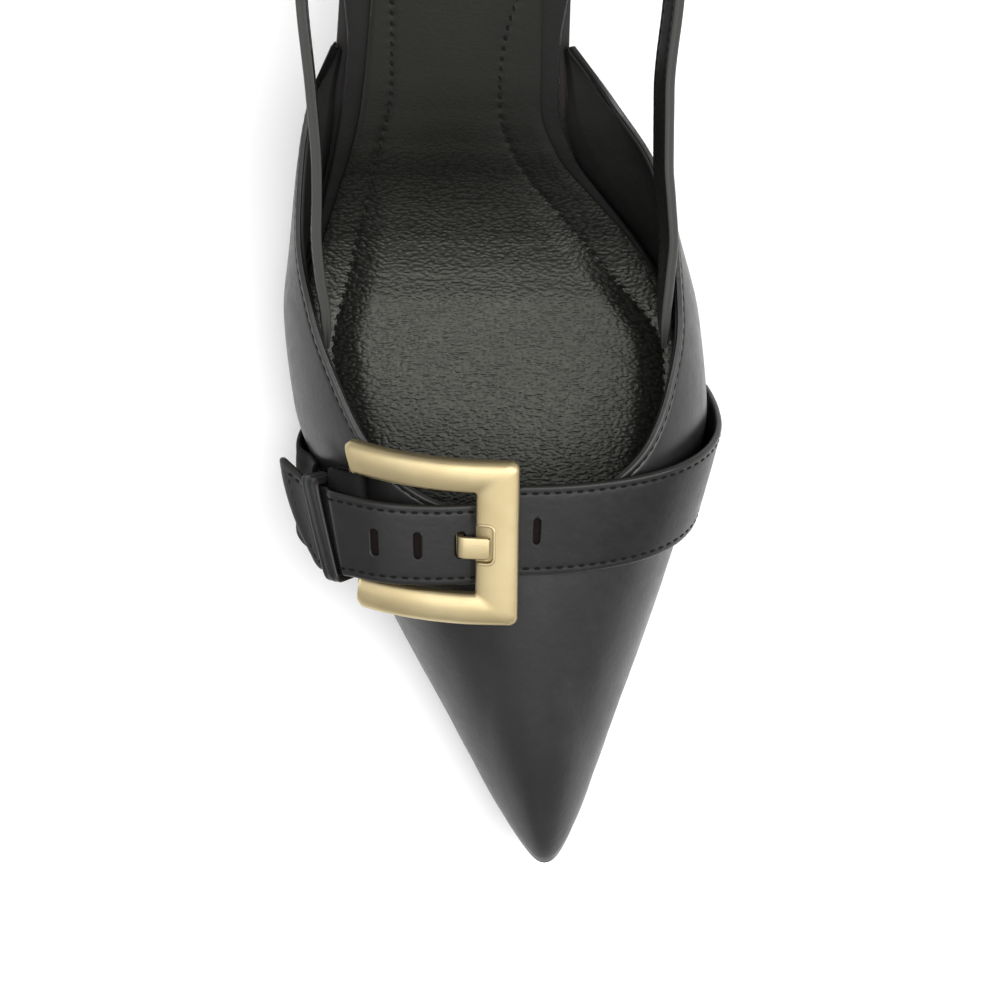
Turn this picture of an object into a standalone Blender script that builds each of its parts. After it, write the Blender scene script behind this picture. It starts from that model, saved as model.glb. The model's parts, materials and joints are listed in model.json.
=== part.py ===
# Slingback pump, right foot: pointed toe, buckled belt over the vamp, slim covered heel.
# Metres, +Z up, toe towards -Y, the foot's inner side towards +X.
# The origin lies on the floor under the middle of the heel tip.

import bpy
import bmesh
import numpy as np
from math import cos, pi, sin, sqrt

# Overall sizes
SHOE_LENGTH = 0.237
BALL_WIDTH = 0.080
SEAT_HEIGHT = 0.0575
TOE_SPRING = 0.0062
TOE_SHIFT = 0.0128
HEEL_SET_IN = 0.010
FIT = 0.0003

# Sole, insole and sock
OUTSOLE_THICKNESS = 0.0025
INSOLE_THICKNESS = 0.0030
SOCK_THICKNESS = 0.0016
SOLE_ROUND = 0.0006
SOCK_ROUND = 0.0005
SOCK_INSET = 0.0034
SOLE_STEPS = 38
NARROWEST = 0.0008

# Upper
UPPER_WALL = 0.0016
THROAT_HEIGHT = 0.0376
TOE_CURVE = 0.3376 * SHOE_LENGTH
SIDE_CURVE = 0.3875 * BALL_WIDTH

# Heel
TIP_THICKNESS = 0.0030
TIP_LENGTH = 0.0105
TIP_WIDTH = 0.0098
SHANK_WAIST = 0.42
BREAST_SETBACK = 0.211 * SHOE_LENGTH
HEEL_INSET = 0.0006
TIP_CHAMFER = 0.0004

# Sling strap
SLING_WIDTH = 0.0062
SLING_THICKNESS = 0.0019
SLING_HEIGHT = 0.106
SLING_LAP_HEIGHT = 0.0235
SLING_STEPS = 26

# Belt over the vamp
BELT_WIDTH = 0.0168
BELT_THICKNESS = 0.0013
BELT_CROWN = THROAT_HEIGHT
BELT_STATION = 0.2743 * SHOE_LENGTH
BELT_LEAN = 0.52
BELT_LATERAL = 0.4812 * BALL_WIDTH
BELT_MEDIAL = 0.4612 * BALL_WIDTH
SLOT_LENGTH = 0.0050
SLOT_WIDTH = 0.0014
SLOT_PITCH = 0.0070
PRONG_SLOT = 0.0038
PRONG_REACH = 0.0030
TAIL_TRIM = 0.0009
TAIL_LENGTH = 0.0425
TAIL_SLANT = 0.0044
TAIL_SWING = 0.0026
TAIL_LIFT = 0.0012
BELT_STAND_OFF = 0.0003
FOLD_THICKNESS = 0.0009
FOLD_STEP = 0.0030
FOLD_FLARE = 0.0040

# Buckle
BAR_WIDTH = 0.0076
ARM_WIDTH = 0.0060
BAR_THICKNESS = 0.0026
WINDOW_LENGTH = 0.0210
WINDOW_WIDTH = 0.0187
HIDDEN_BAR = 0.0014
FRAME_END = 0.0006
FRAME_SHIFT = -0.0019
INNER_ROUND = 0.0005
OUTER_ROUND = 0.0016
NOTCH_DEPTH = 0.0027
NOTCH_WIDTH = 0.0066
NOTCH_LIP = 0.00025
PRONG_WIDTH = 0.0040
PRONG_THICKNESS = 0.0012
KEEPER_WIDTH = 0.0032
KEEPER_BEHIND = 0.0056
KEEPER_THICKNESS = 0.0010

# Runs from the crown towards the outer side
RIGHT_BAR_INSIDE = BAR_WIDTH - FRAME_END
HIDDEN_RUN = RIGHT_BAR_INSIDE + WINDOW_LENGTH + HIDDEN_BAR / 2
KEEPER_RUN = HIDDEN_RUN + KEEPER_BEHIND
KEEPER_NEAR = -KEEPER_RUN + 0.6 * KEEPER_WIDTH
PRONG_SLOT_RUN = RIGHT_BAR_INSIDE + PRONG_REACH
TAIL_HALF = BELT_WIDTH / 2 - TAIL_TRIM
FOLD_HALF = TAIL_HALF - TAIL_TRIM

# Sole edge, from the toe: share of the length, then half widths as shares of the ball width.
SOLE_EDGE = (
    (0.005, 0.000, 0.000),
    (0.020, 0.050, 0.050),
    (0.075, 0.134, 0.116),
    (0.127, 0.205, 0.174),
    (0.190, 0.295, 0.248),
    (0.253, 0.384, 0.319),
    (0.316, 0.462, 0.381),
    (0.371, 0.506, 0.414),
    (0.422, 0.522, 0.415),
    (0.464, 0.514, 0.388),
    (0.498, 0.488, 0.332),
    (0.532, 0.465, 0.253),
    (0.565, 0.440, 0.180),
    (0.603, 0.417, 0.146),
    (0.684, 0.387, 0.153),
    (0.780, 0.365, 0.220),
    (0.865, 0.345, 0.286),
    (0.928, 0.289, 0.266),
    (0.975, 0.173, 0.165),
    (1.000, 0.000, 0.000),
)

# Height of the sole's top over its flat tread: share of the length, share of the seat height.
SOLE_RISE = (
    (0.330, 0.000),
    (0.448, 0.000),
    (0.473, 0.014),
    (0.498, 0.046),
    (0.523, 0.102),
    (0.549, 0.178),
    (0.574, 0.266),
    (0.600, 0.354),
    (0.633, 0.456),
    (0.684, 0.578),
    (0.738, 0.683),
    (0.802, 0.777),
    (0.865, 0.846),
    (0.928, 0.901),
    (1.000, 0.957),
)

# Widest line of the upper, read like the sole's edge.
UPPER_WIDEST = (
    (0.000, 0.000, 0.000),
    (0.017, 0.054, 0.054),
    (0.059, 0.124, 0.113),
    (0.118, 0.207, 0.184),
    (0.177, 0.293, 0.256),
    (0.236, 0.376, 0.324),
    (0.304, 0.473, 0.395),
    (0.371, 0.533, 0.441),
    (0.439, 0.546, 0.430),
    (0.498, 0.523, 0.393),
    (0.557, 0.498, 0.342),
    (0.608, 0.465, 0.248),
    (0.650, 0.407, 0.156),
)

# Topline reached from each place of the widest line, for the outer and the inner side:
# share along, share across, share of the throat height.
TOPLINE = (
    (0.000, 0.285, 0.052, 1.000, 0.285, -0.052, 1.000),
    (0.017, 0.285, 0.071, 1.000, 0.285, -0.031, 1.000),
    (0.059, 0.286, 0.104, 0.997, 0.285, 0.006, 0.997),
    (0.118, 0.289, 0.161, 0.989, 0.288, 0.064, 0.992),
    (0.177, 0.297, 0.231, 0.973, 0.296, 0.125, 0.981),
    (0.236, 0.314, 0.310, 0.947, 0.311, 0.188, 0.965),
    (0.304, 0.344, 0.384, 0.910, 0.338, 0.273, 0.931),
    (0.371, 0.386, 0.438, 0.872, 0.384, 0.336, 0.878),
    (0.439, 0.442, 0.487, 0.803, 0.440, 0.372, 0.811),
    (0.498, 0.499, 0.509, 0.718, 0.499, 0.376, 0.739),
    (0.557, 0.558, 0.493, 0.691, 0.557, 0.338, 0.707),
    (0.608, 0.609, 0.460, 0.739, 0.608, 0.245, 0.755),
    (0.650, 0.651, 0.402, 0.904, 0.650, 0.153, 0.904),
)

# Shape of the upper's section: share of the length, share of the wall's height that lies
# under the widest line, reach of the curve from toe value to side value, its fullness.
UPPER_SECTION = (
    (0.000, 0.14, 1.00, 1.40),
    (0.059, 0.18, 0.70, 1.50),
    (0.118, 0.22, 0.40, 1.65),
    (0.177, 0.27, 0.15, 1.80),
    (0.236, 0.31, 0.00, 1.95),
    (0.371, 0.37, 0.00, 2.00),
    (0.498, 0.60, 0.00, 2.00),
    (0.557, 0.72, 0.00, 2.00),
    (0.650, 0.80, 0.00, 2.00),
)

# Sling strap: share of the length, share of its rise, places across for the outer and the
# inner side as shares of the ball width, then how far each side's upper edge leans out.
SLING_ROUTE = (
    (0.420, 0.000, 0.452, 0.335, 0.00, 0.00),
    (0.444, 0.046, 0.453, 0.337, 0.00, 0.05),
    (0.472, 0.096, 0.462, 0.342, 0.00, 0.15),
    (0.499, 0.140, 0.466, 0.347, 0.00, 0.22),
    (0.530, 0.189, 0.461, 0.341, 0.03, 0.26),
    (0.560, 0.239, 0.458, 0.335, 0.05, 0.28),
    (0.613, 0.331, 0.464, 0.336, 0.08, 0.30),
    (0.684, 0.447, 0.477, 0.358, 0.10, 0.32),
    (0.760, 0.568, 0.480, 0.374, 0.10, 0.28),
    (0.830, 0.680, 0.474, 0.376, 0.05, 0.15),
    (1.012, 1.000, 0.000, 0.000, 0.00, 0.00),
)

# Arch of the belt and buckle over the vamp
ARCH_POWER_OUTER = 2.1
ARCH_POWER_INNER = 2.3
ARCH_TUCK = 0.032
ARCH_FOOT = 0.40
BELT_SLOPE = 0.20
BELT_FLARE = 0.060
BELT_STEP = 0.0026
BELT_TURN = 0.050
FRAME_SKEW = 0.09
KEEPER_SKEW = 0.32
CROWN_ACROSS = 0.43 * TOE_SHIFT
SIDE_HEIGHT = 0.3617 * THROAT_HEIGHT


def smooth(points):
    """A curve through the points that never swings past them."""
    xs, ys = np.array(points, float).T
    step = np.diff(xs)
    slope = np.diff(ys) / step
    tangent = np.zeros(len(xs))
    tangent[0], tangent[-1] = slope[0], slope[-1]
    for i in range(1, len(xs) - 1):
        before, after = slope[i - 1], slope[i]
        if before * after > 0:
            near = 2 * step[i] + step[i - 1]
            far = step[i] + 2 * step[i - 1]
            tangent[i] = (near + far) / (near / before + far / after)

    def value(x):
        x = min(max(x, xs[0]), xs[-1])
        i = min(max(int(np.searchsorted(xs, x)) - 1, 0), len(xs) - 2)
        t = (x - xs[i]) / step[i]
        return ((2 * t**3 - 3 * t**2 + 1) * ys[i] + (t**3 - 2 * t**2 + t) * step[i] * tangent[i]
                + (3 * t**2 - 2 * t**3) * ys[i + 1] + (t**3 - t**2) * step[i] * tangent[i + 1])
    return value


def rounded(rows, side):
    """Half width that grows like a round nose at both closed ends."""
    ends = [(np.arccos(1 - 2 * row[0]), row[side]) for row in rows]
    curve = smooth(ends)
    return lambda share: curve(np.arccos(1 - 2 * min(max(share, 0), 1)))


def from_toe(rows, outer, inner):
    """One curve for both sides, outer side negative, over the root of the share."""
    left = [(-sqrt(row[0]), row[outer]) for row in reversed(rows)]
    right = [(sqrt(row[0]), row[inner]) for row in rows[1:]]
    return smooth(left + right)


def axis(share):
    return TOE_SHIFT * (1 - share)


def along(share):
    return (share - 1) * SHOE_LENGTH + HEEL_SET_IN


sole_outer = rounded(SOLE_EDGE, 1)
sole_inner = rounded(SOLE_EDGE, 2)
sole_rise = smooth([row[:2] for row in SOLE_RISE])
TREAD_FRONT = SOLE_RISE[0][0]


def sole_top(share):
    toe = max(0, 1 - share / TREAD_FRONT)
    return OUTSOLE_THICKNESS + sole_rise(share) * SEAT_HEIGHT + TOE_SPRING * toe**2


def over_sole(share, lift):
    """Height of a surface that runs at a set distance over or under the sole's top."""
    small = 0.004
    slope = (sole_top(share + small) - sole_top(share - small)) / (2 * small * SHOE_LENGTH)
    return sole_top(share) + lift * sqrt(1 + slope * slope)


def edge_across(share, inset):
    """Outer and inner edge of a sheet that lies inside the sole's edge by the inset."""
    middle = axis(share)
    outer = max(sole_outer(share) * BALL_WIDTH - inset, NARROWEST)
    inner = max(sole_inner(share) * BALL_WIDTH - inset, NARROWEST)
    return middle - outer, middle + inner


def new_object(name, bm, colour, roughness, metallic=0.0):
    mesh = bpy.data.meshes.new(name)
    bm.to_mesh(mesh)
    bm.free()
    material = bpy.data.materials.new(name)
    material.use_nodes = True
    shader = material.node_tree.nodes["Principled BSDF"]
    shader.inputs["Base Color"].default_value = (*colour, 1)
    shader.inputs["Roughness"].default_value = roughness
    shader.inputs["Metallic"].default_value = metallic
    mesh.materials.append(material)
    made = bpy.data.objects.new(name, mesh)
    parts.objects.link(made)
    mesh.shade_smooth()
    mesh.set_sharp_from_angle(angle=pi / 5)
    return made


def sheet(rows, skip=(), ring=False):
    """Faces between rows of points, without the skipped ones."""
    bm = bmesh.new()
    grid = [[bm.verts.new(point) for point in row] for row in rows]
    if ring:
        grid.append(grid[0])
    for i in range(len(grid) - 1):
        for j in range(len(grid[i]) - 1):
            if (i, j) not in skip:
                bm.faces.new((grid[i][j], grid[i][j + 1], grid[i + 1][j + 1], grid[i + 1][j]))
    return bm


def loft(rings, closed=False):
    """A solid between rings of points, capped at both ends or closed on itself."""
    bm = bmesh.new()
    loops = [[bm.verts.new(point) for point in ring] for ring in rings]
    pairs = list(zip(loops, loops[1:]))
    if closed:
        pairs.append((loops[-1], loops[0]))
    else:
        bm.faces.new(loops[0])
        bm.faces.new(loops[-1])
    for one, two in pairs:
        for j in range(len(one)):
            k = (j + 1) % len(one)
            bm.faces.new((one[j], one[k], two[k], two[j]))
    bmesh.ops.recalc_face_normals(bm, faces=bm.faces)
    return bm


def thicken(made, thickness, side, edge=0.0):
    """Give a sheet its thickness, and round its outer edges."""
    solid = made.modifiers.new("Solidify", "SOLIDIFY")
    solid.thickness = thickness
    solid.offset = side
    if edge:
        bevel = made.modifiers.new("Bevel", "BEVEL")
        bevel.width = edge
        bevel.segments = 1
        bevel.limit_method = "ANGLE"
        bevel.angle_limit = pi / 3


def sole_sheet(name, inset, lift, ends, thickness, side, edge, colour, roughness):
    """A sheet along the last's bottom, thickened upwards or, with side -1, downwards."""
    first, last = ends
    count = SOLE_STEPS
    across = 4
    rows = []
    for i in range(count + 1):
        share = first + (last - first) * (1 - cos(pi * i / count)) / 2
        outer, inner = edge_across(share, inset(share))
        height = over_sole(share, lift)
        rows.append([(outer + (inner - outer) * j / across, along(share), height)
                     for j in range(across + 1)])
    made = new_object(name, sheet(rows), colour, roughness)
    thicken(made, thickness, side, edge)
    return made


BLACK = (0.012, 0.012, 0.012)
LINING = (0.016, 0.015, 0.014)
BRASS = (0.78, 0.62, 0.36)


def outsole():
    return sole_sheet("outsole", lambda share: FIT, 0, (0.006, 0.998),
                      OUTSOLE_THICKNESS, -1, SOLE_ROUND, BLACK, 0.5)


def insole_inset(share):
    """The insole lies inside the upper's wall, and reaches the sole's edge behind it."""
    behind = min(max((share - 0.655) / 0.05, 0), 1)
    return (UPPER_WALL + 2 * FIT) * (1 - behind) + FIT * behind


def sock_inset(share):
    """The sock fills the front, and leaves a rim along the waist and the seat."""
    reach = min(max((share - 0.42) / 0.19, 0), 1)
    rim = reach * reach * (3 - 2 * reach)
    return UPPER_WALL + 3 * FIT + SOCK_INSET * rim


def insole():
    return sole_sheet("insole", insole_inset, FIT, (0.022, 0.997),
                      INSOLE_THICKNESS, 1, SOLE_ROUND, LINING, 0.55)


def sock():
    return sole_sheet("sock", sock_inset, 2 * FIT + INSOLE_THICKNESS, (0.030, 0.986),
                      SOCK_THICKNESS, 1, SOCK_ROUND, LINING, 0.5)


widest = from_toe([(row[0], -row[1], row[2]) for row in UPPER_WIDEST], 1, 2)
line_along = from_toe(TOPLINE, 1, 4)
line_across = from_toe([(row[0], -row[2], row[5]) for row in TOPLINE], 1, 2)
line_height = from_toe(TOPLINE, 3, 6)
under_share = from_toe(UPPER_SECTION, 1, 1)
toe_reach = from_toe(UPPER_SECTION, 2, 2)
fullness = from_toe(UPPER_SECTION, 3, 3)
WING_END = UPPER_WIDEST[-1][0]


def upper_column(place, under, over):
    """Points from the sole's edge up over the widest line to the topline."""
    share = place * place
    line = line_along(place)
    wide = np.array((axis(share) + widest(place) * BALL_WIDTH, along(share)))
    top = np.array((axis(line) + line_across(place) * BALL_WIDTH, along(line)))
    foot_share = SOLE_EDGE[0][0] + share * (1 - SOLE_EDGE[0][0] / WING_END)
    foot = np.array((edge_across(foot_share, 0)[0 if place < 0 else 1], along(foot_share)))
    if share < 1e-6:
        foot[0] = axis(foot_share)
    low = sole_top(foot_share) + FIT
    crest = line_height(place) * THROAT_HEIGHT
    middle = low + under_share(place) * (crest - low)
    points = []
    for i in range(under):
        rise = i / under
        out = 1 - (1 - rise)**1.7
        points.append((*(foot + (wide - foot) * out), low + (middle - low) * rise))
    reach = SIDE_CURVE + (TOE_CURVE - SIDE_CURVE) * toe_reach(place)
    turn = min(1, np.linalg.norm(top - wide) / reach)
    power = fullness(place)
    full = (1 - (1 - turn)**power)**(1 / power)
    for i in range(over + 1):
        part = (i / over)**1.6
        arc = (1 - (1 - turn * part)**power)**(1 / power) / full
        points.append((*(wide + (top - wide) * part), middle + (crest - middle) * arc))
    return points


def upper():
    """One hollow wall, open at the throat, at the waist and underneath."""
    places = []
    for i in range(29, -30, -1):
        turn = abs(i) / 29
        place = sqrt(WING_END * 1.04 * turn * (0.78 + 0.22 * turn) * turn / (turn + 0.04))
        places.append(place if i > 0 else -place)
    made = new_object("upper", sheet([upper_column(place, 3, 9) for place in places]), BLACK, 0.42)
    thicken(made, UPPER_WALL, -1)
    return made


def tip_edge(turn, grow):
    """Edge of the heel's tip, flat at the front and round at the back."""
    return TIP_WIDTH / 2 * grow * sin(turn), TIP_LENGTH * grow * (max(cos(turn), 0)**0.6 - 0.5)


def heel_ring(level, count):
    """Section of the heel from the seat at 0 down to the tip at 1."""
    breast = (SHOE_LENGTH - BREAST_SETBACK) / SHOE_LENGTH
    slim = level**SHANK_WAIST
    points = []
    for i in range(-count, count + 1):
        turn = pi * i / (2 * count)
        share = breast + (0.996 - breast) * max(cos(turn), 0)**0.8
        outer, inner = edge_across(share, HEEL_INSET)
        seat_across = outer if i < 0 else inner
        if i == 0:
            seat_across = axis(share)
        seat = np.array((seat_across, along(share), over_sole(share, -OUTSOLE_THICKNESS - FIT)))
        tip = np.array((*tip_edge(turn, 1), TIP_THICKNESS + FIT))
        blend = seat + (tip - seat) * slim
        blend[2] = seat[2] + (tip[2] - seat[2]) * level
        points.append(blend)
    return points


def heel():
    levels = (0, 0.02, 0.06, 0.12, 0.2, 0.3, 0.42, 0.56, 0.7, 0.85, 1)
    return new_object("heel", loft([heel_ring(level, 9) for level in levels]), BLACK, 0.35)


def heel_tip():
    rings = []
    for height, grow in ((TIP_THICKNESS, 1.0), (TIP_CHAMFER, 1.0), (0, 0.96)):
        rings.append([(*tip_edge(pi * i / 18, grow), height) for i in range(-9, 10)])
    return new_object("heel_tip", loft(rings), (0.02, 0.02, 0.02), 0.6)


def sling_strap():
    """One strap from wing to wing round the back of the heel."""
    lift = smooth([row[:2] for row in SLING_ROUTE])
    outer_place, inner_place = [smooth([(row[0], row[k]) for row in SLING_ROUTE[:-1]]) for k in (2, 3)]
    outer_lean, inner_lean = [smooth([(row[0], row[k]) for row in SLING_ROUTE]) for k in (4, 5)]
    first = SLING_ROUTE[0][0]
    turns_in = SLING_ROUTE[-2][0]
    last = SLING_ROUTE[-1][0]
    rise = SLING_HEIGHT - SLING_LAP_HEIGHT
    line, leans = [], []
    for i in range(-SLING_STEPS, SLING_STEPS + 1):
        turn = 1 - abs(i) / SLING_STEPS
        share = first + (last - first) * sin(pi / 2 * turn)
        bend = max(share - turns_in, 0) / (last - turns_in)
        reach = sqrt(max(0, 1 - bend * bend))
        half = (outer_place if i < 0 else inner_place)(share) * reach
        leans.append((outer_lean if i < 0 else inner_lean)(share))
        line.append(np.array((axis(share) + (-half if i < 0 else half) * BALL_WIDTH, along(share),
                              SLING_LAP_HEIGHT + lift(share) * rise)))
    strip = []
    for i, middle in enumerate(line):
        ahead = line[min(i + 1, len(line) - 1)] - line[max(i - 1, 0)]
        ahead /= np.linalg.norm(ahead)
        level = np.cross(ahead, (0, 0, 1))
        level /= np.linalg.norm(level)
        up = np.cross(level, ahead) - leans[i] * level
        up /= np.linalg.norm(up)
        strip.append([middle + up * SLING_WIDTH * (j / 2 - 0.5) for j in range(3)])
    made = new_object("sling_strap", sheet(strip), BLACK, 0.42)
    thicken(made, SLING_THICKNESS, 0, SLING_THICKNESS / 4)
    return made


def arch(side, power):
    """Arch over the vamp: place across and drop, both 1 at the widest line."""
    if side <= 1:
        angle = pi / 2 * side
        return sin(angle)**(2 / power), 1 - cos(angle)**(2 / power)
    foot = side - 1
    return 1 - ARCH_TUCK * foot**2 / ARCH_FOOT**2, 1 + foot


ARCH_DROP = BELT_CROWN - SIDE_HEIGHT


def arch_lengths(width, power):
    turns = np.linspace(0, 1 + ARCH_FOOT, 141)
    points = np.array([arch(turn, power) for turn in turns]) * (width, ARCH_DROP * sqrt(1 + BELT_LEAN**2))
    steps = np.linalg.norm(np.diff(points, axis=0), axis=1)
    return turns, np.concatenate(([0], np.cumsum(steps)))


ARCH_OUTER = arch_lengths(BELT_LATERAL, ARCH_POWER_OUTER)
ARCH_INNER = arch_lengths(BELT_MEDIAL, ARCH_POWER_INNER)


def turn_aside(reach):
    """How far the belt swings towards the toe as it passes through the buckle."""
    step = min(max(reach / RIGHT_BAR_INSIDE, 0), 1)
    past = max(reach - RIGHT_BAR_INSIDE, 0) + 2 * max(reach - HIDDEN_RUN, 0)
    return BELT_STEP * step * step * (3 - 2 * step) + BELT_TURN * past


skew = smooth(((RIGHT_BAR_INSIDE, 0), (HIDDEN_RUN, FRAME_SKEW), (KEEPER_RUN, KEEPER_SKEW),
               (TAIL_LENGTH, KEEPER_SKEW)))


def arch_surface(run, across, turned):
    """Point of the arch: run from the crown towards the inner side, across towards the heel."""
    inner = run > 0
    aside = turn_aside(-run)
    if not inner:
        run -= skew(-run) * (across if turned else across + aside)
    turns, lengths = ARCH_INNER if inner else ARCH_OUTER
    power = ARCH_POWER_INNER if inner else ARCH_POWER_OUTER
    wide, drop = arch(float(np.interp(abs(run), lengths, turns)), power)
    if turned:
        across -= aside
    half = BELT_MEDIAL * (1 + BELT_FLARE * across / (BELT_WIDTH / 2)) if inner else -BELT_LATERAL
    fall = drop * ARCH_DROP
    y = HEEL_SET_IN - SHOE_LENGTH + BELT_STATION + across + BELT_LEAN * fall
    return np.array((CROWN_ACROSS + wide * half, y, BELT_CROWN + BELT_SLOPE * across - fall))


def on_arch(run, across, lift, turned=True):
    """Point at a height over the arch."""
    small = FIT
    along_run = arch_surface(run + small, across, turned) - arch_surface(run - small, across, turned)
    along_width = arch_surface(run, across + small, turned) - arch_surface(run, across - small, turned)
    up = np.cross(along_run, along_width)
    return arch_surface(run, across, turned) + lift * up / np.linalg.norm(up)


# Heights over the arch, from the vamp upwards: keeper, fixed strap, hidden bar, belt
KEEPER_UNDER = KEEPER_THICKNESS / 2
FOLD_LOW = KEEPER_THICKNESS + FIT + FOLD_THICKNESS / 2
FOLD_HIGH = FOLD_LOW + FOLD_THICKNESS + FIT
BAR_LOW = PRONG_THICKNESS + 2 * FIT
BAR_HIGH = BAR_LOW + HIDDEN_BAR
FOLD_OVER_BAR = BAR_HIGH + FIT + FOLD_THICKNESS / 2
FOLD_UNDER_BAR = BAR_LOW - FIT - FOLD_THICKNESS / 2
TAIL_OVER_BAR = FOLD_OVER_BAR + (FOLD_THICKNESS + BELT_THICKNESS) / 2 + FIT
TAIL_IN_KEEPER = FOLD_HIGH + (FOLD_THICKNESS + BELT_THICKNESS) / 2 + FIT
FRAME_LOW = BELT_THICKNESS + 2 * FIT
BELT_LOW = BELT_THICKNESS / 2
PRONG_LOW = PRONG_THICKNESS / 2


def refine(path):
    """The path with further points wherever two lie far apart."""
    fine = [path[0]]
    for one, two in zip(path, path[1:]):
        pieces = max(1, round(abs(two[0] - one[0]) / FOLD_STEP))
        for i in range(1, pieces + 1):
            fine.append(tuple(a + (b - a) * i / pieces for a, b in zip(one, two)))
    return fine


def belt_half(run):
    """Half width of the belt: full on the inner side, trimmed at the buckle."""
    return TAIL_HALF if run < -FRAME_END else BELT_WIDTH / 2


def belt():
    """The strap from the inner side through the buckle to its free tail."""
    over_bar = -HIDDEN_RUN - 1.7 * HIDDEN_BAR
    lift = smooth((
        (-TAIL_LENGTH, TAIL_IN_KEEPER + TAIL_LIFT),
        (-KEEPER_RUN - KEEPER_WIDTH, TAIL_IN_KEEPER),
        (KEEPER_NEAR, TAIL_IN_KEEPER),
        (over_bar, TAIL_OVER_BAR),
        (-HIDDEN_RUN + 2 * HIDDEN_BAR, TAIL_OVER_BAR),
        (-PRONG_SLOT_RUN - PRONG_SLOT, PRONG_THICKNESS + 3 * FIT + BELT_LOW),
        (-PRONG_SLOT_RUN + PRONG_SLOT / 2, BELT_LOW + FIT),
        (-RIGHT_BAR_INSIDE, BELT_LOW),
        (BELT_WIDTH, BELT_LOW),
        (1.7 * BELT_WIDTH, BELT_LOW + BELT_STAND_OFF),
        (2.7 * BELT_WIDTH, BELT_LOW + BELT_STAND_OFF),
        (ARCH_INNER[1][-1], BELT_LOW),
    ))
    slots = []
    for k in range(-2, 3):
        middle = -PRONG_SLOT_RUN - k * SLOT_PITCH
        half = (PRONG_SLOT if k == 0 else SLOT_WIDTH) / 2
        slots.append((middle - half, middle + half))
    runs = {-TAIL_LENGTH, over_bar, ARCH_INNER[1][-1] - FIT}
    for low, high in slots:
        runs.update((low, high, high + SLOT_PITCH / 3))
    count = 15
    start = slots[0][1] + SLOT_PITCH / 2
    runs.update(start + (ARCH_INNER[1][-1] - start) * i / count for i in range(1, count))
    keeper_far = -KEEPER_RUN - KEEPER_WIDTH * 0.7
    keeper_out = -KEEPER_RUN - KEEPER_WIDTH / 2 - FIT
    runs.update(keeper_far - (TAIL_LENGTH + keeper_far) * i / 4 for i in range(4))
    runs.update(KEEPER_NEAR + (slots[-1][0] - KEEPER_NEAR) * i / 4 for i in range(4))
    runs = sorted(runs)
    widths = (-1, -0.62, -SLOT_LENGTH / BELT_WIDTH, SLOT_LENGTH / BELT_WIDTH, 0.62, 1)
    rows = []
    for run in runs:
        half = belt_half(run)
        cut = TAIL_SLANT * min(max((KEEPER_NEAR - run) / (TAIL_LENGTH + KEEPER_NEAR), 0), 1)
        swing = TAIL_SWING * min(max((keeper_out - run) / (TAIL_LENGTH + keeper_out), 0), 1)
        row = []
        for share in widths:
            place = run + cut * ((1 - share) / 2)**1.7
            row.append(on_arch(place, share * half + swing * (1 + share) / 2, lift(place)))
        rows.append(row)
    skip = {(runs.index(low), 2) for low, high in slots}
    made = new_object("belt", sheet(rows, skip), BLACK, 0.42)
    thicken(made, BELT_THICKNESS, 0)
    return made


def belt_fold():
    """Fixed strap on the outer side, folded round the buckle's hidden bar."""
    nose = HIDDEN_BAR / 2 + 2 * FIT + FOLD_THICKNESS / 2
    behind = -HIDDEN_RUN - 2.11 * HIDDEN_BAR
    path = refine((
        (-ARCH_OUTER[1][-1] + FIT, FOLD_THICKNESS / 2 + FIT),
        (-KEEPER_RUN - 2.6 * KEEPER_WIDTH, FOLD_THICKNESS / 2 + FIT),
        (-KEEPER_RUN - KEEPER_WIDTH, FOLD_LOW),
        (KEEPER_NEAR, FOLD_LOW),
        (-HIDDEN_RUN - 2.1 * HIDDEN_BAR, FOLD_LOW - FIT),
        (-HIDDEN_RUN - HIDDEN_BAR / 2, FOLD_UNDER_BAR),
        (-HIDDEN_RUN + HIDDEN_BAR / 2, FOLD_UNDER_BAR),
        (-HIDDEN_RUN + nose * 0.85, (FOLD_UNDER_BAR + 2 * BAR_LOW) / 3),
        (-HIDDEN_RUN + nose, (BAR_LOW + BAR_HIGH) / 2),
        (-HIDDEN_RUN + nose * 0.85, (FOLD_OVER_BAR + 2 * BAR_HIGH) / 3),
        (-HIDDEN_RUN + HIDDEN_BAR / 2, FOLD_OVER_BAR),
        (-HIDDEN_RUN - 1.3 * HIDDEN_BAR, FOLD_OVER_BAR),
        (KEEPER_NEAR, FOLD_HIGH),
        (-KEEPER_RUN - KEEPER_WIDTH, FOLD_HIGH),
    ))
    widths = (-1, -0.5 * (PRONG_WIDTH + 4 * FIT) / FOLD_HALF, 0.5 * (PRONG_WIDTH + 4 * FIT) / FOLD_HALF, 1)
    rows = []
    for run, lift in path:
        flare = FOLD_FLARE * min(max((run - KEEPER_NEAR) / (behind - KEEPER_NEAR), 0), 1)
        rows.append([on_arch(run, share * FOLD_HALF + flare * (share == 1), lift) for share in widths])
    over = -HIDDEN_RUN - 0.6 * HIDDEN_BAR
    skip = set()
    for i, (run, lift) in enumerate(path[:-1]):
        if min(run, path[i + 1][0]) > (over if lift > BAR_HIGH else behind):
            skip.add((i, 1))
    made = new_object("belt_fold", sheet(rows, skip), BLACK, 0.45)
    thicken(made, FOLD_THICKNESS, 0)
    return made


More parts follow.
